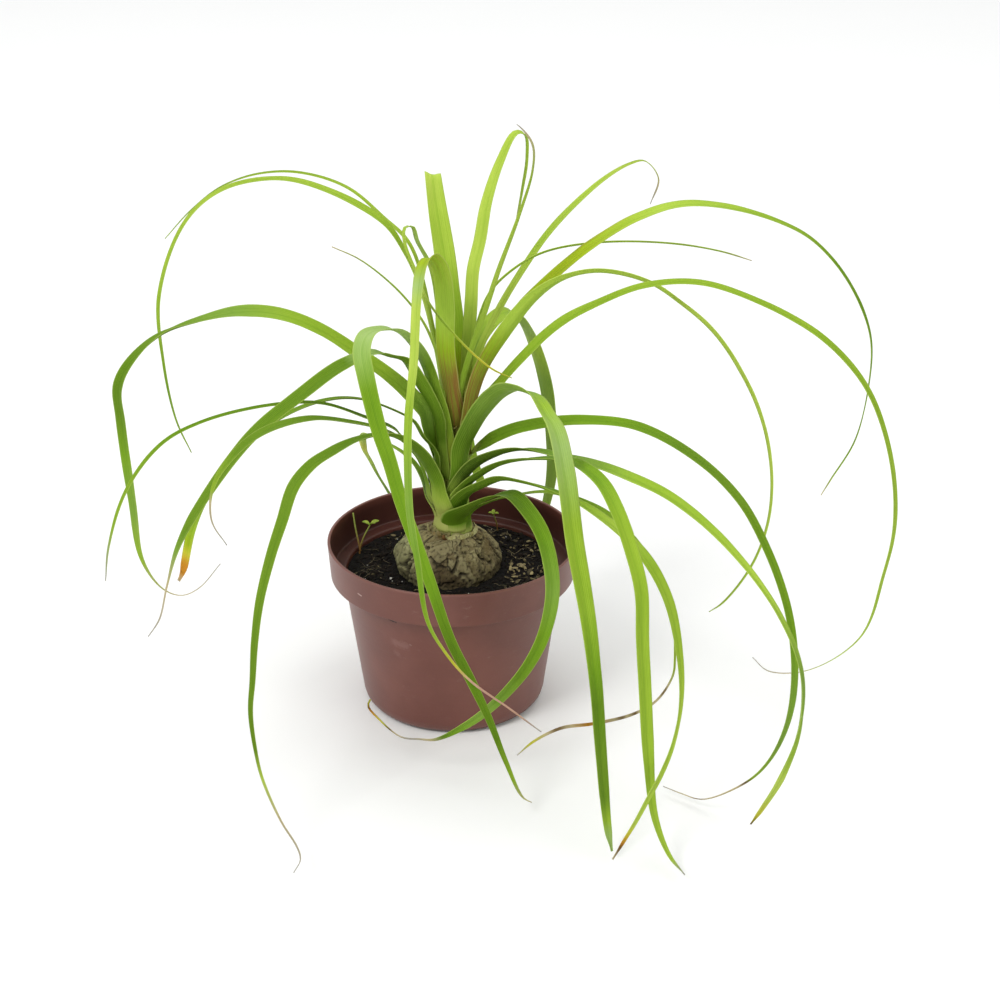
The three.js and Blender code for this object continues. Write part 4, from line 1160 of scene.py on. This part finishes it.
     "widths": [3, 3.6, 3.4, 3, 2.4, 2, 1.6, 1],
     "rolls": [0],
     "course": [(-4.5, 5.5, 160), (-8, 6.5, 187), (-18, 7, 228), (-30, 10, 240), (-46, 13, 253),
                (-67, 16, 259), (-86, 18, 258), (-104, 21, 251), (-119, 24, 239), (-132, 26, 225)],
     "tints": "0 plum, .1 plum, .16 acid, .3 young, .8 bright, .9 leafy, 1 bright"},
    {"node": "leaf_back_right_high", "side": 50, "height": 137,
     "widths": [4, 4.5, 4, 4, 4, 3, 1.4, 1],
     "rolls": [0],
     "course": [(7.5, 10, 159), (14, 15.5, 176), (23, 25, 192), (34, 37, 207), (48, 50, 223), (71, 68, 240),
                (85, 77, 246), (93, 82, 246), (100, 87, 236), (97, 94, 221)],
     "tints": "0 plum, .12 young, .22 lime, .35 lime, .45 young, .6 young, .85 lime, .93 straw, 1 grey"},
    {"node": "leaf_centre_upright", "side": 110, "height": 140,
     "widths": [5, 9, 10.5, 10.5, 9.4, 7.4, 5, 3, 1.4],
     "rolls": [0],
     "course": [(1, 8, 158), (1, 10, 187), (-1, 13, 205), (-3, 17, 222), (-6, 22, 241), (-8, 28, 255),
                (-8, 35, 250), (-7, 48, 234), (-6, 58, 214), (-6, 64, 192)],
     "tints": "0 plum, .06 plum, .16 acid, .24 bright, .42 young, .52 young, .6 lime, 1 lime"},
    {"node": "leaf_high_left", "side": 188, "height": 141,
     "widths": [4, 5, 6, 5, 2.8, 2.8, 3, 2.6, 1.4],
     "rolls": [0, -10, -25, -28, -40, -30],
     "course": [(-4, 0, 158), (-8, -1, 187), (-14, -2, 213), (-20, -3, 228), (-29, -4, 242), (-51, -5, 256),
                (-74, -7, 263), (-100, -8, 258), (-117, -9, 243), (-130, -11, 210), (-130, -13, 180),
                (-126, -14, 151), (-120, -15, 135)],
     "tints": "0 plum, .06 plum, .1 young, .22 lime, .3 bright, .6 young, .8 bright, .9 green, 1 bright"},
    {"node": "leaf_right_thread", "side": -25, "height": 145,
     "widths": [3, 3.4, 3, 2.2, 1.8, 1.4, 1],
     "rolls": [0],
     "course": [(8, -3, 170), (11, -3, 187), (18, 1, 207), (30, 5, 218), (44, 10, 224), (69, 17, 226),
                (101, 25, 223), (125, 32, 217), (141, 36, 211)],
     "tints": "0 plum, .12 young, .5 young, .9 young, 1 straw"},
    {"node": "leaf_folded_thread", "side": 225, "height": 147,
     "widths": [3, 3.6, 4, 3.5, 3, 2.4, 1.6, 1.4, 1],
     "rolls": [0],
     "course": [(-1.7, -3.6, 165), (-4.2, -5.6, 192), (-8, -9, 222), (-14, -12, 236), (-16, -13, 243),
                (-19, -15, 243), (-19, -17, 237), (-14, -22, 225), (-9, -28, 214), (4, -37, 200),
                (19, -46, 189), (28, -50, 186)],
     "tints": "0 plum, .08 lime, .2 young, .3 bright, .4 lime, .48 wax, .56 young, .7 lime, .8 bright, "
              ".9 yellow, 1 yellow"},
    {"node": "leaf_tall_right", "side": 45, "height": 148,
     "widths": [4.5, 7.5, 8.5, 8.2, 7.8, 5.8, 3.4, 2.6, 1.4],
     "rolls": [0],
     "course": [(8, 2, 175), (10, 4, 201), (11, 9, 216), (14, 14, 228), (17, 20, 244), (23, 27, 261),
                (30, 32, 273), (34, 34, 272), (35, 37, 260), (33, 41, 244), (30, 46, 225)],
     "tints": "0 plum, .08 acid, .16 lime, .45 lime, .75 young, .92 young, 1 straw"},
    {"node": "leaf_front_hanging", "side": 262, "height": 144,
     "widths": [7, 8.6, 9, 7.4, 5.4, 4.8, 4.4, 4, 3, 1.8, 1.5, 1],
     "rolls": [0],
     "course": [(0, -7, 165), (-2, -10, 184), (-2, -13, 209), (-3, -15, 221), (-5, -18, 228),
                (-8, -22, 232), (-11, -29, 230), (-13, -42, 219), (-14, -58, 198), (-16, -76, 178),
                (-16, -90, 165), (-15, -102, 146), (-12, -106, 125), (-8, -107, 96), (0, -107, 80),
                (10, -107, 67), (27, -107, 53), (41, -107, 41)],
     "tints": "0 plum, .075 plum, .12 acid, .16 young, .2 young, .29 acid, .325 wax, .36 lime, .44 lime, "
              ".5 bright, .62 leafy, .74 green, .8 bright, .85 yellow, .88 pink, .96 pink, 1 grey"},
    {"node": "leaf_tall_curled", "side": -80, "height": 150,
     "widths": [2.6, 2.8, 2.6, 2.2, 1.6, 1, 1],
     "rolls": [0, -10, -15, -15, 0],
     "course": [(4, -5, 160), (8, -7, 177), (12, -7, 190), (16, -6, 201), (22, -6, 220), (31, -8, 246),
                (37, -12, 268), (37, -15, 280), (33, -17, 287), (30, -18, 290)],
     "tints": "0 lime, .15 bright, .3 young, .5 lime, .8 young, .95 straw, 1 grey"},
    {"node": "leaf_behind_low", "side": 95, "height": 102,
     "widths": [6, 7.5, 8, 8, 7.5, 7, 6, 4.5, 1.6],
     "rolls": [0, 6, 10, 4, -6, 0],
     "course": [(1, 10, 112), (2, 20, 130), (2, 38, 146), (1, 58, 149), (0, 76, 136), (-1, 86, 112),
                (-1, 90, 82), (-2, 93, 54), (-8, 96, 36), (-18, 102, 20), (-27, 110, 12)],
     "tints": "0 lime, .08 deep, .5 green, .85 bright, .95 yellow, 1 straw"},
    {"node": "leaf_behind_middle", "side": 72, "height": 114,
     "widths": [6, 7, 8, 8, 7.5, 6.5, 5.5, 4, 1.2],
     "rolls": [0, -6, -8, 4, 10, 0],
     "course": [(4, 9.5, 130), (4, 19, 150), (4, 36, 166), (4, 58, 171), (4, 80, 163), (4, 95, 143),
                (4, 103, 115), (7, 107, 84), (15, 111, 56), (26, 116, 34), (34, 120, 22)],
     "tints": "0 lime, .08 deep, .5 green, .85 bright, .96 lime, 1 straw"},
    {"node": "leaf_behind_high", "side": 140, "height": 131,
     "widths": [4.5, 6.5, 7.5, 7.5, 7, 6, 5, 3.5, 1.2],
     "rolls": [0, 8, 10, 0, -8, 0],
     "course": [(-3.5, 8, 148), (-3, 17, 168), (-2, 34, 184), (-1, 56, 189), (-1, 80, 183), (-1, 100, 163),
                (-1, 112, 134), (-2, 118, 104), (-6, 121, 78), (-15, 125, 52), (-27, 130, 32),
                (-34, 134, 22)],
     "tints": "0 plum, .1 green, .5 bright, .85 young, .96 lime, 1 straw"},
]


def readTints(text):
    # each stop holds a colour, how rusty it is and how dry it is
    stops = []
    for part in text.split(","):
        share, name = part.split()
        rust = {"plum": 1.0, "acid": 0.4}.get(name, 0.0)
        dry = 1.0 if name in ("straw", "brown", "grey", "pink", "orange") else 0.0
        stops.append((float(share), linearColour(tintColours[name]) + [rust, dry]))
    return stops


def smoothCourse(points, perSpan=24):
    # a centripetal curve through every point
    p = np.array(points, float)
    p = np.vstack([2 * p[0] - p[1], p, 2 * p[-1] - p[-2]])
    line = []
    for i in range(1, len(p) - 2):
        p0, p1, p2, p3 = p[i - 1:i + 3]
        gaps = [max(np.linalg.norm(b - a) ** 0.5, 1e-4) for a, b in ((p0, p1), (p1, p2), (p2, p3))]
        fromSlope = ((p1 - p0) / gaps[0] - (p2 - p0) / (gaps[0] + gaps[1]) + (p2 - p1) / gaps[1]) * gaps[1]
        toSlope = ((p2 - p1) / gaps[1] - (p3 - p1) / (gaps[1] + gaps[2]) + (p3 - p2) / gaps[2]) * gaps[1]
        t = (np.arange(perSpan) / perSpan)[:, None]
        line.append((2 * t ** 3 - 3 * t ** 2 + 1) * p1 + (t ** 3 - 2 * t ** 2 + t) * fromSlope
                    + (3 * t ** 2 - 2 * t ** 3) * p2 + (t ** 3 - t ** 2) * toSlope)
    line.append(p[-2:-1])
    return np.vstack(line)


def leafSpine(leaf):
    # evenly spaced midrib points with their direction and the blade's unrolled width direction
    look = leafLook
    side, height = math.radians(leaf["side"]), leaf["height"]
    out = spokeAt(side)
    reach = stemRadius(height) + look["clear"]
    base = stemMiddle(height) + out * reach
    second = stemMiddle(height + look["sheath"]) + out * (reach + look["sheath"] * look["flare"])
    line = smoothCourse([base, second] + list(leaf["course"]))
    run = np.r_[0, np.cumsum(np.linalg.norm(np.diff(line, axis=0), axis=1))]
    count = max(30, round(run[-1] / look["step"]))
    places = np.linspace(0, run[-1], count + 1)
    spine = np.stack([np.interp(places, run, line[:, k]) for k in range(3)], 1)
    along = np.gradient(spine, axis=0)
    along /= np.linalg.norm(along, axis=1)[:, None]
    across = np.array([-out[1], out[0], 0.0])
    across -= across.dot(along[0]) * along[0]
    across /= np.linalg.norm(across)
    acrosses = [across]
    for before, after in zip(along, along[1:]):
        across = turnBetween(across, before, after)
        across = across / np.linalg.norm(across)
        acrosses.append(across)
    return spine, along, np.array(acrosses), places, out, reach


def turnBetween(vector, before, after):
    axis = np.cross(before, after)
    sine, cosine = np.linalg.norm(axis), before.dot(after)
    if sine < 1e-9:
        return vector
    axis = axis / sine
    return vector * cosine + np.cross(axis, vector) * sine + axis * axis.dot(vector) * (1 - cosine)


# places across a blade, from edge to edge, and its channel there, from -1 at the midrib to 1 at the edges
acrossBlade = np.linspace(-1, 1, leafLook["across"])
channel = np.sqrt(acrossBlade ** 2 + leafLook["soft"] ** 2) - leafLook["soft"]
channel = 2 * channel / channel[0] - 1


def pastFoot(along, out, i, low):
    # how far the foot's run inside the stem lies from the foot; a lowest foot runs down and outward
    look = leafLook
    tucked = along * look["tuckDown"] * i - out * look["tuckIn"] * i * i
    flared = np.array([0, 0, look["tuckDown"] * i]) - out * look["tuckOut"] * i
    return mix(tucked, flared, low)


def bladeSection(leaf, number, run, length, hug, low):
    # one section of the blade: how far each place is to the side and up, and half its thickness
    look = leafLook
    width = max(readAlong(leaf["widths"], run / length), look["leastWidth"])
    half = width / 2
    half *= mix(look["tipWidth"], 1, smooth(length - run, 0, look["tipRun"]))
    spreading = 1 - smooth(run, 0, look["spreadRun"])
    half *= 1 + (look["wrapSpread"] + look["footSpread"] * low) * spreading
    waves = np.array([smoothNoise((run / look["waveRun"], s * 3, number), 1, number) for s in (-1, 1)])
    waves *= look["edgeWave"] * min(1, width / 7) * smooth(run, *look["waveStart"])
    edge = np.abs(acrossBlade) ** 3
    rise = channel * (look["keel"] * width / 2)
    rise = rise + look["ripple"] * np.cos(acrossBlade * math.pi * 3) * min(1, width / 6)
    rise = rise + edge * np.where(acrossBlade < 0, waves[0], waves[1])
    # near the foot the section wraps the stem
    wrap = 1 - smooth(run, *look["wrap"])
    turn = np.clip(acrossBlade * half / hug, -look["mostTurn"], look["mostTurn"])
    sideways = mix(acrossBlade * half, hug * np.sin(turn), wrap)
    upward = mix(rise, hug * (1 - np.cos(turn)), wrap)
    middleThick = mix(look["thick"], look["baseThick"], 1 - smooth(run, 0, look["thickRun"]))
    middleThick *= mix(0.6, 1, min(1, width / 5))
    return sideways, upward, mix(middleThick, look["edgeThick"], edge) / 2


def makeLeaf(leaf, number):
    look = leafLook
    spine, along, acrosses, places, out, reach = leafSpine(leaf)
    stops = readTints(leaf["tints"])
    underside, paleFoot = np.array([linearColour(look["underside"]), linearColour(tintColours["cream"])])
    length = places[-1]
    low = 1 - smooth(leaf["height"], *look["lowest"])
    hug = max(reach, look["hug"])
    rings, tints = [], []
    layers = {name: [] for name in ("spread", "reach", "under", "rust", "dry")}
    for i in range(-look["lead"], len(places)):
        k = max(i, 0)
        run, share = places[k], places[k] / length
        centre = spine[k] + pastFoot(along[0], out, i, low) if i < 0 else spine[k]
        roll = math.radians(readAlong(leaf["rolls"], share))
        across = acrosses[k] * math.cos(roll) + np.cross(along[k], acrosses[k]) * math.sin(roll)
        up = np.cross(along[k], across)
        rings.append(bladeRing(centre, across, up, *bladeSection(leaf, number, run, length, hug, low)))
        *tint, rust, dry = readStops(stops, share)
        tint = mix(np.array(tint), paleFoot, smooth(-i, 1, look["lead"]))
        for face, mixIn in ((acrossBlade, look["undersideShare"] * (1 - dry)), (acrossBlade[::-1], 0.0)):
            for s in face:
                tints.append(tint * (1 - mixIn) + underside * mixIn * min(1, tint.sum()))
                for name, value in zip(layers, (s, run, 1.0 if mixIn else 0.0, rust, dry)):
                    layers[name].append(value)
    words = leaf["node"].split("_")
    blade = newPiece(words[0] + "".join(word.capitalize() for word in words[1:]), *closedSkin(rings))
    # the middle points of the foot's and the tip's fans come last
    addColours(blade, "tint", tints + [tints[0], tints[-1]])
    ends = {"reach": [0, length], "rust": [layers["rust"][0], 0], "dry": [0, layers["dry"][-1]]}
    for name, values in layers.items():
        addValues(blade, name, values + ends.get(name, [0, 0]))
    addValues(blade, "leafNumber", [float(number)] * len(blade.data.vertices))
    return blade


def leafMaterial():
    look = leafLook
    material, w = newMaterial("waxyBlade")
    tint = readValue(w, "tint", "Color")
    spread, reach, under, number, rust, dry = [
        readValue(w, name) for name in ("spread", "reach", "under", "leafNumber", "rust", "dry")]

    def along(across, length, seed):
        return w.node("ShaderNodeCombineXYZ", {}, {0: spread * across, 1: reach * length, 2: number * seed})

    streak = grain(w, 2.2, 3.0, 0.5, along(9, 0.035, 3.7))
    cloud = grain(w, 1.0, 4.0, 0.6, along(0.8, 0.05, 5.1))
    rustLine = between(grain(w, 1.0, 3.0, place=along(7, 0.03, 2.3)), 0.44, 0.6)
    freckle = between(grain(w, 1.0, 3.0, place=along(3, 0.5, 1.9)), 0.6, 0.72)
    stripe = between(grain(w, 1.0, 2.0, place=along(16, 0.02, 6.3)), 0.52, 0.66)
    # the veins fade where a foot wraps the stem
    clearOfStem = between(reach, 3.0, 15.0) * 0.8 + 0.2
    veins = (wave(spread * 34 + streak * 2.0) * 0.5 + 0.5) * clearOfStem
    fineVeins = (wave(spread * 88 + streak * 3.0) * 0.5 + 0.5) * clearOfStem
    edge = between(abs(spread), 0.84, 0.98)
    midrib = 1 - between(abs(spread), 0.02, 0.2)
    green = 1 - dry
    colour = shaded(between(cloud, 0.3, 0.7) * green * 0.5, tint, look["cloudShade"])
    colour = shaded(midrib * (1 - under) * green * 0.5, colour, look["midribShade"])
    colour = shaded(stripe * green * 0.4, colour, look["stripeShade"])
    colour = layered(colour, [
        (veins * fineVeins * green * 0.26, look["vein"]),
        (edge * green * 0.42, look["edge"]),
        (rust * rustLine * 0.75, look["rust"]),
        (rust * edge * 0.5, look["rustyEdge"]),
        (dry * freckle * 0.6, look["freckle"]),
    ])
    rough = 0.44 + streak * 0.14 + under * 0.08 + dry * 0.2
    relief = veins * 0.6 + fineVeins * 0.3 + streak * 0.7 + dry * freckle
    return finishMaterial(material, colour, rough, 0.1, relief, 0.00012)


bladeMaterial = leafMaterial()
for number, leaf in enumerate(leafTable):
    blade = makeLeaf(leaf, number)
    blade.data.materials.append(bladeMaterial)
    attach(blade, "root")
    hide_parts(leaf["node"])
print("leaves ready")


# dried sheath remnants where the lowest leaves leave the bulb

neckPart = {
    "ringSteps": 120, "thick": 0.42, "paleSide": -48, "flapReach": 11.2,
    # each a pair that the weave mixes, and the stain on both
    "dryColours": ("#c6c288", "#a39a5c"), "darkColours": ("#5c3f1f", "#7e5a30"), "stain": "#8a7a45",
    # radius and height of the collar's section, from low to high
    "section": [(11.6, 88.0), (11.2, 88.4), (10.9, 88.8), (10.7, 89.2), (10.5, 89.6), (10.35, 89.9)],
    # side in degrees, height, length, width, lean outward, shade
    "flaps": [(-108, 88.6, 4.6, 3.0, 0.9, 0.0), (-122, 89.4, 5.5, 3.4, 0.7, 0.35),
              (-52, 88.6, 4.8, 2.2, 1.0, 1.0), (-38, 88.8, 4, 2.6, 0.8, 0.8),
              (-166, 89.2, 5.5, 3.2, 0.6, 0.7), (75, 89.2, 5, 3.6, 0.6, 0.6)],
}


def sheathRing(scatter):
    n = neckPart
    rings, shades = [], []
    for i in range(n["ringSteps"]):
        side = math.tau * i / n["ringSteps"]
        spoke = spokeAt(side)
        sway = 0.25 * math.sin(5 * side + 1) + 0.7 * smoothNoise(spoke * 3 + (0, 0, 2), 1, 5)
        outer, inner = [], []
        for j, (radius, height) in enumerate(n["section"]):
            part = j / (len(n["section"]) - 1)
            middle = spoke * (radius + 0.12 * math.sin(22 * side) * part) + (0.4, 0, height + sway * part)
            half = n["thick"] / 2 * mix(1, 0.45, part)
            outer.append(middle + spoke * half + (0, 0, 0.3 * half))
            inner.append(middle - spoke * half - (0, 0, 0.3 * half))
        rings.append(outer + inner[::-1])
        pale = smooth(math.cos(side - math.radians(n["paleSide"])), 0.2, 0.85)
        shades += [mix(0.3, 0.95, pale)] * len(rings[-1])
    count = len(rings[0])
    points = [p for ring in rings for p in ring]
    # one turn of faces more than the rings, so that the last ring joins the first
    faces = [tuple(i % len(points) for i in face) for face in ringFaces(len(rings) + 1, count)]
    scatter.add(points, faces, shades)


def sheathFlap(scatter, side, height, long, wide, lean, shade):
    # a small dry pointed scale that stands off the bulb's shoulder
    spoke = spokeAt(math.radians(side))
    across = np.array([-spoke[1], spoke[0], 0])
    foot = spoke * neckPart["flapReach"] + (0, 0, height - 1.2)
    width = np.linspace(-1, 1, 7)
    rings = []
    for i in range(15):
        t = i / 14
        half = wide / 2 * math.sqrt(max(0, 1 - t ** 1.7)) * (0.85 + 0.15 * math.sin(9 * t + side)) + 0.06
        middle = foot + spoke * (lean * 1.9 * math.sin(t * 2.4)) + np.array([0, 0, long * t * 0.8])
        rings.append(bladeRing(middle, across, spoke, width * half, -0.45 * half * width ** 2, [0.14] * 7))
    points, faces = closedSkin(rings)
    scatter.add(points, [face[::-1] for face in faces], shade)


def sheathMaterial():
    material, w = newMaterial("paperySheath")
    fibres, cloud = grain(w, 1.0, place=(900, 900, 120)), grain(w, 350.0)
    weave = between(fibres, 0.35, 0.7)
    dark, dry = [mixColours(weave, *neckPart[pair]) for pair in ("darkColours", "dryColours")]
    colour = mixColours(readValue(w, "shade"), dark, dry)
    colour = mixColours(between(cloud, 0.6, 0.8) * 0.35, colour, neckPart["stain"])
    return finishMaterial(material, colour, 0.6 + fibres * 0.2, 0.3, fibres, 0.0003)


neckBits = Scatter()
sheathRing(neckBits)
for flap in neckPart["flaps"]:
    sheathFlap(neckBits, *flap)
litter(sheathMaterial(), "driedSheath", neckBits, False)
print("neck ready")


# three seedlings that came up in the pot

seedlingPart = {
    # each plant has the line of its stem, and its leaves as (tip, width)
    "stalk": {
        "node": "seedling_stalk", "name": "paleStalk", "radius": 0.52,
        "line": [(-45, 17.3, 60), (-46.1, 19, 68), (-48.2, 23.8, 76), (-49.7, 28.2, 83.5)],
        "leaves": [],
    },
    "sprout": {
        "node": "seedling_leafy", "name": "leafySprout", "radius": 0.5,
        "line": [(-46, 15.5, 61), (-46, 16.5, 69), (-44, 18.5, 75), (-41, 21.5, 80)],
        "leaves": [((-44.9, 23.3, 81), 2.4), ((-36.6, 23, 81.6), 3.0), ((-38.4, 19.8, 81.8), 2.2)],
    },
    "tiny": {
        "node": "seedling_small", "name": "tinySprout", "radius": 0.4,
        "line": [(21.5, 40.5, 62), (21.4, 40.2, 70), (20.6, 39.4, 74), (19.6, 38.6, 77.5)],
        "leaves": [((17, 38, 78.8), 1.9), ((22.1, 37.6, 78.6), 1.9),
                   ((19.4, 41.2, 79), 1.7), ((19.2, 36.4, 78.9), 1.5)],
    },
}

# each a pair that is mixed: from a stem's foot upward, and in clouds over a leaf
seedlingColours = {"stem": ("#86602f", "#8e9a45"), "leaf": ("#98a638", "#768f2e")}


def seedlingLeaf(scatter, base, tip, width):
    base, tip = np.array(base, float), np.array(tip, float)
    along = (tip - base) / np.linalg.norm(tip - base)
    across = np.cross(along, (0, 0, 1))
    across /= np.linalg.norm(across)
    up = np.cross(across, along)
    xs = np.linspace(-1, 1, 9)
    rings = []
    for i in range(17):
        t = i / 16
        half = width / 2 * (math.sin(math.pi * (0.04 + 0.93 * t) ** 1.25) ** 0.75) + 0.05
        middle = mix(base, tip, t) + up * (0.45 * math.sin(math.pi * t))
        cup = 0.28 * half * xs ** 2 - 0.12 * (1 - np.minimum(1, abs(xs) * 3))
        rings.append(bladeRing(middle, across, up, xs * half, cup, [0.12] * 9))
    scatter.add(*closedSkin(rings), 1.0)


def makeSeedling(plant, material):
    bits = Scatter()
    line = smoothCourse(plant["line"], 10)
    bits.thread([tuple(p) for p in line], lambda t: plant["radius"] * mix(1.0, 0.72, t), 0.3, 14)
    for tip, width in plant["leaves"]:
        seedlingLeaf(bits, plant["line"][-1], tip, width)
    piece = bits.piece(plant["name"])
    piece.data.materials.append(material)
    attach(piece, "root")
    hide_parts(plant["node"])


def seedlingMaterial():
    material, w = newMaterial("seedlingGreen")
    height = objectPlace(w)[2]
    cloud = grain(w, 600.0, 3.0)
    stem = mixColours(between(height, 0.068, 0.08), *seedlingColours["stem"])
    leafy = mixColours(between(cloud, 0.35, 0.65), *seedlingColours["leaf"])
    colour = mixColours(between(readValue(w, "shade"), 0.5, 0.8), stem, leafy)
    return finishMaterial(material, colour, 0.5 + cloud * 0.15, 0.25, cloud, 0.0002)


seedlingFinish = seedlingMaterial()
for plant in seedlingPart.values():
    makeSeedling(plant, seedlingFinish)
print("seedlings ready")
